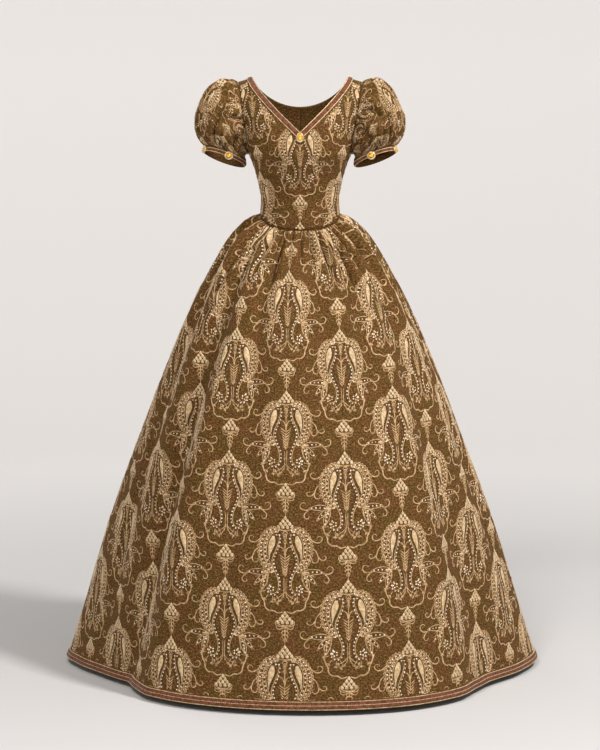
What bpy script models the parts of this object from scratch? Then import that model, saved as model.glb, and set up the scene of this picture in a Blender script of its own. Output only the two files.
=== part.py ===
"""A worn ball gown, built from the pieces a maker cuts and sews, at real size.

The frame is the wearer's: +Z up, the front towards -Y, and the origin in the middle of the
shoulder line, where the gown is carried. Lengths are in metres. Each cloth piece is an open
sheet worked out from sections of the gown and thickened with Solidify, so that it is a thin
wall round an empty hollow. The floor-length skirt is gathered into the waist seam.
"""

import math
from collections import namedtuple

import bmesh
import bpy
from mathutils import Matrix, Vector

# Cloth and seams
BODICE_CLOTH = 0.0020
SKIRT_CLOTH = 0.0022
SLEEVE_CLOTH = 0.0016
BRAID_THICKNESS = 0.0016
SEAM_GAP = 0.0003
BRAID_GAP = 0.0004
MERGE_DISTANCE = 0.00001

# Steps for working out the lie of a surface and of a line drawn on it
SURFACE_STEP = 1e-4
LINE_STEP = 1e-3

# Neckline, measured across and down from the middle of the shoulder line
NECK_HALF_WIDTH = 0.1215
FRONT_NECK_DROP = 0.146
BACK_NECK_DROP = 0.070
FRONT_NECK_CURVE = 1.28
FRONT_NECK_SPACING = 1.50
BACK_NECK_CURVE = 1.50
NECK_BRAID_WIDTH = 0.0155

# Shoulder and armhole
SHOULDER_HALF_WIDTH = 0.159
SHOULDER_SLOPE = 0.30
SHOULDER_SLOPE_FADE = 0.05
SHOULDER_EASE = 0.0025
SHOULDER_ROUNDING = 0.17
UNDERARM_DROP = 0.195
ARMHOLE_NARROWING = 0.0305
ARMHOLE_CURVE = 0.80

# Waist seam: how far it lies below the shoulder line
WAIST_DROP_SIDE = 0.347
WAIST_DIP_FRONT = 0.045
WAIST_DIP_BACK = 0.013

# Fullness that the bust darts give the front
BUST_FULLNESS = 0.007
BUST_ACROSS = 0.056
BUST_DROP = 0.205
BUST_SPREAD = 0.040

# Skirt
HEM_DROP = 1.500
HEM_RADIUS = 0.612
GATHERS = 28
BROAD_FOLD_PHASE = 1.3
POINTS_PER_GATHER = 5
FRONT_CALM = 0.45
FRONT_CALM_SPREAD = math.radians(26)
SIDE_SEAM = 90

# Waves that run whole times round: how unevenly the skirt's gathers are spaced, and how the
# depth of the gathers changes round the skirt and round a sleeve
Wave = namedtuple("Wave", "size count phase")
GATHER_SHIFTS = (Wave(0.035, 6, 0.0), Wave(0.022, 8, 0.0))
GATHER_CHANGES = (Wave(0.25, 3, 1.0), Wave(0.18, 7, 2.2))
SLEEVE_GATHER_CHANGES = (Wave(0.30, 2, 0.7), Wave(0.20, 5, 0.0))

# Sleeve: its sections turn about a line beside the underarm, from the armhole to the cuff
SLEEVE_PIVOT_ACROSS = 0.125
SLEEVE_PIVOT_DROP = 0.2176
CUFF_BAND = 0.0145
CUFF_BRAID_TOP = 0.24
ARMHOLE_STAND = 0.0030
ARMHOLE_GAP = 0.0006
INNER_GATHER_SHARE = 0.15
CUFF_DIRECTION = Vector((0.335, 0.10, -0.942)).normalized()
CUFF_FRONT_LIFT = 0.009
CUFF_LIFT_START = 0.5
ARMHOLE_FIT_SHARE = 0.5
SLEEVE_GATHERS = 16
POINTS_PER_SLEEVE_GATHER = 3

# Jewels: an oval gem in a beaded oval setting
Jewel = namedtuple("Jewel", "width height setting_rise gem_share gem_rise")
NECK_JEWEL = Jewel(0.0185, 0.0255, 0.0034, 0.66, 0.0042)
CUFF_JEWEL = Jewel(0.0220, 0.0205, 0.0034, 0.60, 0.0042)
NECK_JEWEL_DROP = 0.1605
CUFF_JEWEL_SHARE = 1.78
CUFF_JEWEL_ANGLES = {"front": 104, "outer": 24}
SETTING_SIDES = 16
GEM_SIDES = 12

# Rings of a jewel's rounded shoulder: part of its half width, and part of its rise
DishRing = namedtuple("DishRing", "reach level")
DISH_RINGS = (
    DishRing(1.00, 0.00),
    DishRing(1.00, 0.45),
    DishRing(0.86, 0.85),
    DishRing(0.62, 1.00),
)

# Grid sizes
BODICE_COLUMNS = 10
BODICE_UPPER_ROWS = 8
BODICE_LOWER_ROWS = 6

# Sections of the bodice: half its width, its depth before and behind the side seams, and
# how square the section is (2 is an ellipse)
BodyRow = namedtuple("BodyRow", "drop half_width front back square")
BODY = (
    BodyRow(0.000, 0.1700, 0.095, 0.095, 3.0),
    BodyRow(0.065, 0.1600, 0.102, 0.094, 3.0),
    BodyRow(0.100, 0.1510, 0.107, 0.095, 2.9),
    BodyRow(0.150, 0.1395, 0.112, 0.095, 2.6),
    BodyRow(0.195, 0.1285, 0.113, 0.093, 2.3),
    BodyRow(0.227, 0.1170, 0.106, 0.089, 2.1),
    BodyRow(0.270, 0.1050, 0.094, 0.083, 2.0),
    BodyRow(0.310, 0.0980, 0.085, 0.078, 2.0),
    BodyRow(0.347, 0.1000, 0.083, 0.078, 2.0),
    BodyRow(0.400, 0.1080, 0.086, 0.082, 2.0),
)

# Sections of the skirt. share: part of the way from waist seam to hem; spread: part of the
# way from waist to hem radius; fine and broad: depth of the gathers and of the folds that
# pairs of them run into; flute: part of the hem's fluting that is felt there. The last two
# rows are the edges of the hem braid, 20 mm apart
SkirtRow = namedtuple("SkirtRow", "share spread fine broad flute")
SKIRT = (
    SkirtRow(0.0000, 0.0000, 0.0008, 0.0000, 0.00),
    SkirtRow(0.0024, 0.0004, 0.0008, 0.0000, 0.00),
    SkirtRow(0.0065, 0.0290, 0.0036, 0.0000, 0.00),
    SkirtRow(0.0190, 0.0690, 0.0068, 0.0012, 0.00),
    SkirtRow(0.0450, 0.1290, 0.0074, 0.0038, 0.00),
    SkirtRow(0.0950, 0.2060, 0.0052, 0.0068, 0.02),
    SkirtRow(0.1700, 0.3010, 0.0026, 0.0084, 0.06),
    SkirtRow(0.2800, 0.4160, 0.0008, 0.0060, 0.16),
    SkirtRow(0.4400, 0.5660, 0.0000, 0.0024, 0.38),
    SkirtRow(0.6800, 0.7690, 0.0000, 0.0000, 0.72),
    SkirtRow(0.9826, 0.9840, 0.0000, 0.0000, 0.99),
    SkirtRow(1.0000, 1.0000, 0.0000, 0.0000, 1.00),
)

# Flutes of the hem: its radius at angles round from the centre front, towards the wearer's left
HemRow = namedtuple("HemRow", "degrees radius")
HEM = (
    HemRow(-198, 0.562),
    HemRow(-180, 0.592),
    HemRow(-163, 0.566),
    HemRow(-140, 0.606),
    HemRow(-122, 0.612),
    HemRow(-106, 0.568),
    HemRow(-90, 0.606),
    HemRow(-79, 0.576),
    HemRow(-66, 0.540),
    HemRow(-55, 0.528),
    HemRow(-47, 0.549),
    HemRow(-38, 0.583),
    HemRow(-27, 0.599),
    HemRow(0, 0.610),
    HemRow(24, 0.619),
    HemRow(38, 0.605),
    HemRow(48, 0.573),
    HemRow(57, 0.561),
    HemRow(72, 0.587),
    HemRow(89, 0.615),
    HemRow(107, 0.571),
    HemRow(126, 0.612),
    HemRow(144, 0.602),
    HemRow(162, 0.562),
    HemRow(180, 0.592),
    HemRow(197, 0.566),
)

# Sections of the puffed sleeve: how far they have turned from upright, their reach from the
# turning line on the outside and on the inside, half their depth, and the gathers' depth
SleeveRow = namedtuple("SleeveRow", "turned outside inside half_depth gather")
SLEEVE = (
    SleeveRow(9.2, 0.2035, 0.0245, 0.0570, 0.0004),
    SleeveRow(14.5, 0.2145, 0.0250, 0.0670, 0.0028),
    SleeveRow(20.5, 0.2225, 0.0262, 0.0770, 0.0040),
    SleeveRow(28.0, 0.2185, 0.0275, 0.0840, 0.0040),
    SleeveRow(42.0, 0.1955, 0.0262, 0.0860, 0.0036),
    SleeveRow(55.0, 0.1710, 0.0228, 0.0800, 0.0040),
    SleeveRow(64.5, 0.1480, 0.0195, 0.0670, 0.0032),
    SleeveRow(71.1, 0.1225, 0.0159, 0.0533, 0.0000),
)

Finish = namedtuple("Finish", "colour metallic roughness")
FINISHES = {
    "brocade": Finish((0.200, 0.130, 0.062), 0.0, 0.80),
    "braid": Finish((0.190, 0.062, 0.036), 0.0, 0.75),
    "gilt": Finish((0.750, 0.480, 0.160), 1.0, 0.28),
    "amber_glass": Finish((0.860, 0.520, 0.040), 0.0, 0.05),
}


def smooth(rows, key, column, at):
    """Read a column of a table between its rows, along a curve that never overshoots them."""
    keys = [getattr(row, key) for row in rows]
    values = [getattr(row, column) for row in rows]
    at = min(max(at, keys[0]), keys[-1])
    last = len(keys) - 2
    here = min(max(sum(1 for k in keys if k <= at) - 1, 0), last)
    slopes = [
        (values[i + 1] - values[i]) / (keys[i + 1] - keys[i]) for i in range(last + 1)
    ]

    def tangent(i):
        if i == 0 or i == last + 1:
            return slopes[min(i, last)]
        before, after = slopes[i - 1], slopes[i]
        if before * after <= 0:
            return 0.0
        return 2 * before * after / (before + after)

    width = keys[here + 1] - keys[here]
    t = (at - keys[here]) / width
    start = (1 + 2 * t) * (1 - t) ** 2 * values[here]
    end = t * t * (3 - 2 * t) * values[here + 1]
    leaving = t * (1 - t) ** 2 * width * tangent(here)
    arriving = t * t * (t - 1) * width * tangent(here + 1)
    return start + end + leaving + arriving


def mix(a, b, share):
    """The value that lies that share of the way from a to b."""
    return a + (b - a) * share


def body_row(column, drop):
    """A column of the bodice's section table at a drop below the shoulder line."""
    return smooth(BODY, "drop", column, drop)


def torso(turn, climb):
    """A point of the bodice's inner face on the wearer's left half.

    turn runs from 0 at the side seam to a quarter circle at the centre. climb is the square
    root of the drop below the shoulder line, positive in front and negative behind, so that
    the sheet runs over the shoulder without a crease.
    """
    drop = climb * climb
    square = body_row("square", drop)
    cosine, sine = math.cos(turn), math.sin(turn)
    scale = (abs(cosine) ** square + abs(sine) ** square) ** (1 / square)
    x = body_row("half_width", drop) * cosine / scale
    rounding = min(drop / SHOULDER_ROUNDING, 1.0)
    depth = body_row("front" if climb > 0 else "back", drop)
    depth *= math.sqrt(1 - (1 - rounding) ** 2) * sine / scale
    if climb > 0:
        off = ((x - BUST_ACROSS) ** 2 + (drop - BUST_DROP) ** 2) / BUST_SPREAD**2
        depth += BUST_FULLNESS * math.exp(-off)
    slope = SHOULDER_EASE + SHOULDER_SLOPE * max(0.0, x - NECK_HALF_WIDTH)
    z = -drop - slope * math.exp(-drop / SHOULDER_SLOPE_FADE)
    return Vector((x, -math.copysign(depth, climb), z))


def turn_at(across, drop):
    """The turn at which the bodice's section at a drop is that far from the centre."""
    share = min(across / body_row("half_width", drop), 1.0)
    square = body_row("square", drop)
    return math.atan2((1 - share**square) ** (1 / square), share)


def outward(surface, a, b):
    """The unit normal of a surface of two parameters, by its own right-hand rule."""
    along_a = surface(a + SURFACE_STEP, b) - surface(a - SURFACE_STEP, b)
    along_b = surface(a, b + SURFACE_STEP) - surface(a, b - SURFACE_STEP)
    return along_a.cross(along_b).normalized()


def neck_point(side, share):
    """(turn, climb) on the neckline. share runs from the shoulder (0) to the centre (1)."""
    if side > 0:
        level = share**FRONT_NECK_SPACING
        drop = FRONT_NECK_DROP * level
        across = NECK_HALF_WIDTH * max(1 - level**FRONT_NECK_CURVE, 0.0)
    else:
        arc = share * math.pi / 2
        drop = BACK_NECK_DROP * math.sin(arc) ** BACK_NECK_CURVE
        across = NECK_HALF_WIDTH * max(math.cos(arc), 0.0)
    return turn_at(across, drop), side * math.sqrt(drop)


def armhole_point(side, share):
    """(turn, climb) on the armhole. share runs from the shoulder (0) to the underarm (1)."""
    drop = UNDERARM_DROP * (1 - math.cos(math.pi * share)) / 2
    narrowing = ARMHOLE_NARROWING * (drop / UNDERARM_DROP) ** ARMHOLE_CURVE
    return turn_at(SHOULDER_HALF_WIDTH - narrowing, drop), side * math.sqrt(drop)


def walk(at, direction, length, steps=4):
    """The (turn, climb) reached by walking over the torso in a direction for a length."""
    turn, climb = at
    for _ in range(steps):
        by_turn = torso(turn + SURFACE_STEP, climb) - torso(turn - SURFACE_STEP, climb)
        by_climb = torso(turn, climb + SURFACE_STEP) - torso(turn, climb - SURFACE_STEP)
        by_turn /= 2 * SURFACE_STEP
        by_climb /= 2 * SURFACE_STEP
        a, b, c = by_turn.dot(by_turn), by_turn.dot(by_climb), by_climb.dot(by_climb)
        p, q = by_turn.dot(direction), by_climb.dot(direction)
        scale = length / steps / (a * c - b * b)
        turn += (c * p - b * q) * scale
        climb += (a * q - b * p) * scale
    return turn, climb


def torso_normal(at):
    """The bodice's outward normal at (turn, climb)."""
    normal = outward(torso, *at)
    middle = Vector((0, 0, -WAIST_DROP_SIDE / 2))
    return normal if normal.dot(torso(*at) - middle) > 0 else -normal


def along_edge(edge, side, share):
    """The direction of a neckline or armhole at a share of the way along it."""
    near_end = LINE_STEP / 10
    before = torso(*edge(side, max(share - LINE_STEP, near_end)))
    after = torso(*edge(side, min(share + LINE_STEP, 1 - near_end)))
    return (after - before).normalized()


def neck_direction(side, share):
    """The direction over the bodice away from the neckline, square to its edge."""
    along = along_edge(neck_point, side, share) * side
    return torso_normal(neck_point(side, share)).cross(along).normalized()


def braid_edge_point(side, share):
    """(turn, climb) where the neck braid ends on the cloth, mitred on the centre line."""
    if share == 0:
        return turn_at(NECK_HALF_WIDTH + NECK_BRAID_WIDTH, 0), 0.0
    direction = neck_direction(side, share)
    if share < 1:
        return walk(neck_point(side, share), direction, NECK_BRAID_WIDTH)
    drop = FRONT_NECK_DROP if side > 0 else BACK_NECK_DROP
    drop += NECK_BRAID_WIDTH / max(-direction.z, 0.5)
    return math.pi / 2, side * math.sqrt(drop)


def waist_drop(side, turn):
    """How far the waist seam lies below the shoulder line."""
    dip = WAIST_DIP_FRONT if side > 0 else WAIST_DIP_BACK
    return WAIST_DROP_SIDE + dip * math.sin(turn)


def bodice_point(side, column, row):
    """(turn, climb) on a bodice piece: column 0 to 1 from centre to side, row 0 to 2 down."""
    if row <= 1:
        inner, outer = braid_edge_point(side, row), armhole_point(side, row)
        level = 1 - (1 - column) ** 2
        return mix(inner[0], outer[0], column), mix(inner[1], outer[1], level)
    turn, climb = bodice_point(side, column, 1)
    low = side * math.sqrt(waist_drop(side, turn))
    return turn, mix(climb, low, row - 1)


def hem_radius(angle):
    """Radius of the fluted hem at an angle round from the centre front, in radians."""
    degrees = (math.degrees(angle) + 180) % 360 - 180
    return smooth(HEM, "degrees", "radius", degrees)


def waves(rows, angle):
    """The sum of some waves at an angle round."""
    return sum(row.size * math.sin(row.count * angle + row.phase) for row in rows)


def skirt_angle(round_share):
    """Angle round from the centre front, for gathers of uneven width. The share is -0.5 to 0.5."""
    turn = 2 * math.pi * round_share
    return turn + waves(GATHER_SHIFTS, turn)


def gather_depth(round_share, row_share):
    """How far the gathers push the skirt out (+) or in (-) at a point."""
    angle = 2 * math.pi * round_share
    fine = smooth(SKIRT, "share", "fine", row_share)
    broad = smooth(SKIRT, "share", "broad", row_share)
    uneven = 1 + waves(GATHER_CHANGES, angle)
    calm = 1 - FRONT_CALM * math.exp(-((angle / FRONT_CALM_SPREAD) ** 2))
    beat = GATHERS * angle
    return uneven * calm * (fine * math.cos(beat) + broad * math.cos(beat / 2 + BROAD_FOLD_PHASE))


def waist_ring(angle):
    """Point of the bodice's lower edge at an angle round from the centre front."""
    side = 1 if math.cos(angle) >= 0 else -1
    turn = math.asin(min(abs(math.cos(angle)), 1.0))
    point = torso(turn, side * math.sqrt(waist_drop(side, turn)))
    return Vector((math.copysign(point.x, math.sin(angle)), point.y, point.z))


def skirt(round_share, row_share):
    """A point of the skirt's inner face."""
    angle = skirt_angle(round_share)
    outwards = Vector((math.sin(angle), -math.cos(angle), 0))
    top = waist_ring(angle) - Vector((0, 0, SEAM_GAP))
    flute = smooth(SKIRT, "share", "flute", row_share)
    spread = smooth(SKIRT, "share", "spread", row_share)
    hem = outwards * mix(HEM_RADIUS, hem_radius(angle), flute)
    place = mix(top, hem, spread) + outwards * gather_depth(round_share, row_share)
    return Vector((place.x, place.y, mix(top.z, -HEM_DROP, row_share)))


def armhole_frame(side, row):
    """Point, direction into the armhole and outward normal at one of the bodice's rows."""
    share = row / BODICE_UPPER_ROWS
    at = armhole_point(side, share)
    normal = torso_normal(at)
    into = along_edge(armhole_point, side, share).cross(normal).normalized()
    point = torso(*at)
    across = Vector((0, -point.y, -UNDERARM_DROP / 2 - point.z))
    return point, into if into.dot(across) > 0 else -into, normal


def armhole_ring(angle):
    """Where the sleeve is sewn in, at an angle round from the shoulder towards the front,
    and where it has left the seam square to the bodice."""
    side = 1 if math.sin(angle) >= 0 else -1
    row = abs(math.remainder(angle, 2 * math.pi)) / math.pi * BODICE_UPPER_ROWS
    above = min(int(row + 1e-6), BODICE_UPPER_ROWS - 1)
    frames = armhole_frame(side, above), armhole_frame(side, above + 1)
    point, into, normal = (a.lerp(b, row - above) for a, b in zip(*frames))
    seam = point + into.normalized() * (SLEEVE_CLOTH + ARMHOLE_GAP)
    return seam, seam + normal.normalized() * ARMHOLE_STAND


def sleeve_section(angle, share):
    """A point of the plain turning sections, before the sleeve is fitted to its armhole."""
    turned, outside, inside, half_depth = (
        smooth(SLEEVE_SHARES, "share", column, share)
        for column in ("turned", "outside", "inside", "half_depth")
    )
    reach = (outside + inside) / 2 + (outside - inside) / 2 * math.cos(angle)
    lean = math.radians(turned)
    x = SLEEVE_PIVOT_ACROSS + reach * math.sin(lean)
    z = -SLEEVE_PIVOT_DROP + reach * math.cos(lean)
    return Vector((x, -half_depth * math.sin(angle), z))


def sleeve(angle, share):
    """A point of the left sleeve's inner face. share is 0 at the armhole, 1 at the cuff's top
    and goes on down the cuff band, 2 being its lower edge."""
    puff = min(share, 1.0)
    point = sleeve_section(angle, puff)
    fit = max(0.0, 1 - puff / ARMHOLE_FIT_SHARE) ** 2
    point += (armhole_ring(angle)[1] - sleeve_section(angle, 0)) * fit
    gather = smooth(SLEEVE_SHARES, "share", "gather", puff)
    middle = sleeve_section(0, puff).lerp(sleeve_section(math.pi, puff), 0.5)
    away = (point - middle).normalized()
    uneven = 1 + waves(SLEEVE_GATHER_CHANGES, angle)
    uneven *= mix(INNER_GATHER_SHARE, 1, (1 + math.cos(angle)) / 2)
    point += away * gather * uneven * math.cos(SLEEVE_GATHERS * angle)
    lift = CUFF_FRONT_LIFT * math.sin(angle)
    lift *= max(0.0, puff - CUFF_LIFT_START) / (1 - CUFF_LIFT_START)
    point += Vector((0, 0, lift))
    if share > 1:
        point += CUFF_DIRECTION * CUFF_BAND * (share - 1)
    return point


SleeveShare = namedtuple("SleeveShare", "share " + " ".join(SleeveRow._fields))
SLEEVE_SHARES = tuple(
    SleeveShare(i / (len(SLEEVE) - 1), *row) for i, row in enumerate(SLEEVE)
)


def make_material(name):
    """A material with the piece's colour, sheen and metal from the finish table."""
    finish = FINISHES[name]
    material = bpy.data.materials.new(name)
    material.use_nodes = True
    shader = material.node_tree.nodes["Principled BSDF"]
    shader.inputs["Base Color"].default_value = (*finish.colour, 1)
    shader.inputs["Metallic"].default_value = finish.metallic
    shader.inputs["Roughness"].default_value = finish.roughness
    return material


def add_object(name, mesh, finish, collection):
    """Put a mesh in the scene under its node name, with its finish."""
    obj = bpy.data.objects.new(name, mesh)
    mesh.materials.append(bpy.data.materials.get(finish) or make_material(finish))
    collection.objects.link(obj)
    return obj


def sheet_mesh(name, *grids, closed=False):
    """A mesh through grids of points, joined where they share them. The last column of each
    joins the first where closed is set."""
    mesh = bpy.data.meshes.new(name)
    shape = bmesh.new()
    for rows in grids:
        grid = [[shape.verts.new(point) for point in row] for row in rows]
        columns = len(rows[0])
        for upper, lower in zip(grid, grid[1:]):
            for i in range(columns if closed else columns - 1):
                j = (i + 1) % columns
                shape.faces.new((upper[i], lower[i], lower[j], upper[j]))
    bmesh.ops.remove_doubles(shape, verts=shape.verts, dist=MERGE_DISTANCE)
    shape.to_mesh(mesh)
    shape.free()
    mesh.shade_smooth()
    return mesh


def thicken(obj, thickness, outwards=True):
    """Turn a sheet into cloth of real thickness, grown from its inner face."""
    solid = obj.modifiers.new("cloth", "SOLIDIFY")
    solid.thickness = thickness
    solid.offset = 1 if outwards else -1
    return obj


def mirrored(point):
    """The same point on the other side of the gown."""
    return Vector((-point.x, point.y, point.z))


def neck_strip(side):
    """Rows of (turn, climb) from the neckline to the braid's other edge, shoulder first."""
    shares = [i / BODICE_UPPER_ROWS for i in range(BODICE_UPPER_ROWS + 1)]
    return [(neck_point(side, share), braid_edge_point(side, share)) for share in shares]


def bodice_rows(side):
    """Rows of points of a half bodice piece from the shoulder seam down to the waist seam:
    the strip under the neck braid, and the rest of the piece."""
    upper = [i / BODICE_UPPER_ROWS for i in range(BODICE_UPPER_ROWS)]
    lower = [1 + i / BODICE_LOWER_ROWS for i in range(BODICE_LOWER_ROWS + 1)]
    columns = [i / BODICE_COLUMNS for i in range(BODICE_COLUMNS + 1)]
    strip = [[torso(*at) for at in row] for row in neck_strip(side)]
    body = [
        [torso(*bodice_point(side, column, row)) for column in columns]
        for row in upper + lower
    ]
    centre = 0.0 if side > 0 else SEAM_GAP / 2
    for point in strip[-1]:
        point.x = centre
    for row in body[BODICE_UPPER_ROWS:]:
        row[0].x = centre
        row[-1].y -= side * SEAM_GAP / 2
    for point in strip[0] + body[0]:
        point.y -= side * SEAM_GAP / 2
    return strip, body


def make_bodice(collection):
    """The front, cut on the fold, and the two backs that meet edge to edge."""
    mesh = sheet_mesh("bodice_front", *bodice_rows(1))
    front = add_object("bodice_front", mesh, "brocade", collection)
    other = front.modifiers.new("other_half", "MIRROR")
    other.merge_threshold = MERGE_DISTANCE
    thicken(front, BODICE_CLOTH)
    for name, flip in (("bodice_back_left", False), ("bodice_back_right", True)):
        grids = bodice_rows(-1)
        if flip:
            grids = [[[mirrored(p) for p in row] for row in grid] for grid in grids]
        back = add_object(name, sheet_mesh(name, *grids), "brocade", collection)
        thicken(back, BODICE_CLOTH, outwards=flip)


def skirt_seams():
    """The skirt's panels and the angles, in degrees from the centre front, where they meet."""
    return (
        ("skirt_back_right", -180, -SIDE_SEAM),
        ("skirt_front", -SIDE_SEAM, SIDE_SEAM),
        ("skirt_back_left", SIDE_SEAM, 180),
    )


def nearest_column(degrees):
    """The column of the skirt's grid nearest to an angle round from the centre front."""
    columns = GATHERS * POINTS_PER_GATHER
    return round(degrees / 360 * columns)


def panel_rows(start, end):
    """Rows of points of a skirt panel between two columns, drawn in from its seams."""
    columns = GATHERS * POINTS_PER_GATHER
    rows = []
    for row in SKIRT:
        points = [skirt(i / columns, row.share) for i in range(start, end + 1)]
        for edge, inner in ((0, 1), (-1, -2)):
            along = (points[inner] - points[edge]).normalized()
            points[edge] += along * SEAM_GAP / 2
        rows.append(points)
    return rows


def make_skirt(collection):
    """The front and the two backs, gathered into the waist seam."""
    for name, start, end in skirt_seams():
        rows = panel_rows(nearest_column(start), nearest_column(end))
        panel = add_object(name, sheet_mesh(name, rows), "brocade", collection)
        thicken(panel, SKIRT_CLOTH)


def make_hem_braid(collection):
    """The braid over the lower edge of the skirt, open at the centre back."""
    columns = GATHERS * POINTS_PER_GATHER
    half = columns // 2
    rows = []
    for row in SKIRT[-2:]:
        shares = [(i / columns, row.share) for i in range(-half, half + 1)]
        shares[0] = (shares[0][0] + 1e-6, row.share)
        shares[-1] = (shares[-1][0] - 1e-6, row.share)
        points = [
            skirt(*at) - outward(skirt, *at) * (SKIRT_CLOTH + BRAID_GAP)
            for at in shares
        ]
        points[0].x, points[-1].x = -SEAM_GAP, SEAM_GAP
        rows.append(points)
    braid = add_object("hem_braid", sheet_mesh("hem_braid", rows), "braid", collection)
    thicken(braid, BRAID_THICKNESS)


def make_neck_braid(collection):
    """The braid round the neckline, mitred at the point of the V and open at the centre back."""
    line = neck_strip(-1)[:0:-1] + neck_strip(1)
    height = BODICE_CLOTH + BRAID_GAP
    rows = [[torso(*at) + torso_normal(at) * height for at in row] for row in line]
    for point in rows[0]:
        point.x = SEAM_GAP
    for point in rows[-1]:
        point.x = 0.0
    mesh = sheet_mesh("neck_braid", rows)
    braid = add_object("neck_braid", mesh, "braid", collection)
    other = braid.modifiers.new("other_half", "MIRROR")
    other.merge_threshold = MERGE_DISTANCE
    thicken(braid, BRAID_THICKNESS)


def sleeve_angles():
    """Angles round a sleeve from its outermost line, at every sample."""
    count = SLEEVE_GATHERS * POINTS_PER_SLEEVE_GATHER
    return [2 * math.pi * i / count for i in range(count)]


def make_sleeves(collection):
    """The puffed sleeves and the braid round their cuffs."""
    shares = [row.share for row in SLEEVE_SHARES] + [2.0]
    braid_shares = (1 + CUFF_BRAID_TOP, 2.0)
    for name, flip in (("left", False), ("right", True)):
        rows = [[sleeve(angle, share) for angle in sleeve_angles()] for share in shares]
        rows.insert(0, [armhole_ring(angle)[0] for angle in sleeve_angles()])
        middle = sum(rows[-2], Vector()) / len(rows[-2])
        bands = [
            [cuff_lifted(sleeve(angle, share), middle) for angle in sleeve_angles()]
            for share in braid_shares
        ]
        if flip:
            rows = [[mirrored(p) for p in row] for row in rows]
            bands = [[mirrored(p) for p in row] for row in bands]
        cloth = add_object(
            f"sleeve_{name}",
            sheet_mesh(f"sleeve_{name}", rows, closed=True),
            "brocade",
            collection,
        )
        thicken(cloth, SLEEVE_CLOTH, outwards=flip)
        braid = add_object(
            f"cuff_braid_{name}",
            sheet_mesh(f"cuff_braid_{name}", bands, closed=True),
            "braid",
            collection,
        )
        thicken(braid, BRAID_THICKNESS, outwards=flip)


def cuff_lifted(point, middle):
    """A cuff point moved out to where the braid lies on the cloth."""
    away = point - middle
    away -= CUFF_DIRECTION * away.dot(CUFF_DIRECTION)
    return point + away.normalized() * (SLEEVE_CLOTH + BRAID_GAP)


def oval_point(width, height, angle, z):
    """A point of a flat oval at an angle round it."""
    return Vector((width / 2 * math.cos(angle), height / 2 * math.sin(angle), z))


def oval_profile(width, height, rise, base, sides):
    """Rings of a low oval dish: flat back, rounded shoulder and flat top."""
    angles = [2 * math.pi * i / sides for i in range(sides)]
    return [
        [oval_point(width * reach, height * reach, a, base + rise * level) for a in angles]
        for reach, level in DISH_RINGS
    ]


def dish_mesh(name, rings):
    """A closed solid from rings, capped below and above."""
    mesh = bpy.data.meshes.new(name)
    shape = bmesh.new()
    grid = [[shape.verts.new(point) for point in ring] for ring in rings]
    count = len(rings[0])
    for lower, upper in zip(grid, grid[1:]):
        for i in range(count):
            j = (i + 1) % count
            shape.faces.new((lower[i], lower[j], upper[j], upper[i]))
    shape.faces.new(list(reversed(grid[0])))
    shape.faces.new(grid[-1])
    shape.to_mesh(mesh)
    shape.free()
    return mesh


def place_jewel(name, jewel, at, normal, up, collection):
    """An oval setting with its gem on top, facing along a normal, sewn at a point."""
    across = up.cross(normal).normalized()
    upright = normal.cross(across).normalized()
    turned = Matrix((across, upright, normal)).transposed().to_4x4()
    place = Matrix.Translation(at) @ turned
    setting = oval_profile(jewel.width, jewel.height, jewel.setting_rise, 0.0, SETTING_SIDES)
    gem = oval_profile(
        jewel.width * jewel.gem_share,
        jewel.height * jewel.gem_share,
        jewel.gem_rise,
        jewel.setting_rise + SEAM_GAP,
        GEM_SIDES,
    )
    for part, rings, finish in (
        ("setting", setting, "gilt"),
        ("gem", gem, "amber_glass"),
    ):
        node = f"{name}_{part}"
        obj = add_object(node, dish_mesh(node, rings), finish, collection)
        obj.matrix_world = place


def make_jewels(collection):
    """One jewel at the point of the neckline and two on each cuff."""
    up = Vector((0, 0, 1))
    at = (math.pi / 2, math.sqrt(NECK_JEWEL_DROP))
    normal = torso_normal(at)
    normal.x = 0.0
    normal.normalize()
    height = BODICE_CLOTH + BRAID_GAP + BRAID_THICKNESS + 2 * SEAM_GAP
    spot = torso(*at) + normal * height
    spot.x = 0.0
    place_jewel("neck_jewel", NECK_JEWEL, spot, normal, up, collection)
    ring = [sleeve(angle, CUFF_JEWEL_SHARE) for angle in sleeve_angles()]
    middle = sum(ring, Vector()) / len(ring)
    height = BRAID_THICKNESS + 2 * SEAM_GAP
    for place, degrees in CUFF_JEWEL_ANGLES.items():
        point = cuff_lifted(sleeve(math.radians(degrees), CUFF_JEWEL_SHARE), middle)
        normal = point - middle
        normal -= CUFF_DIRECTION * normal.dot(CUFF_DIRECTION)
        normal.normalize()
        point += normal * height
        for name, flip in (("left", False), ("right", True)):
            place_jewel(
                f"cuff_jewel_{name}_{place}",
                CUFF_JEWEL,
                mirrored(point) if flip else point,
                mirrored(normal) if flip else normal,
                -(mirrored(CUFF_DIRECTION) if flip else CUFF_DIRECTION),
                collection,
            )


def main():
    """Build the gown in a collection of its own."""
    for obj in list(bpy.data.objects):
        bpy.data.objects.remove(obj)
    collection = bpy.data.collections.new("ball_gown")
    bpy.context.scene.collection.children.link(collection)
    make_bodice(collection)
    make_skirt(collection)
    make_hem_braid(collection)
    make_neck_braid(collection)
    make_sleeves(collection)
    make_jewels(collection)


main()
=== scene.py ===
"""Looks of a worn ball gown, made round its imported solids.

The frame is the wearer's: +Z up, the front towards -Y, the origin in the middle of the shoulder
line, lengths in metres. Each piece of cloth is a fine grid over the same sections as its solid,
with its creases pressed in. The damask is worked on it in thread and beads, from one motif that
is drawn flat, in millimetres.
"""

from __future__ import annotations

import logging
import math
from dataclasses import dataclass, field
from enum import Enum
from typing import Callable, Iterable, NamedTuple, Sequence

import bmesh
import bpy
import numpy as np
from mathutils import Matrix, Vector


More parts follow.
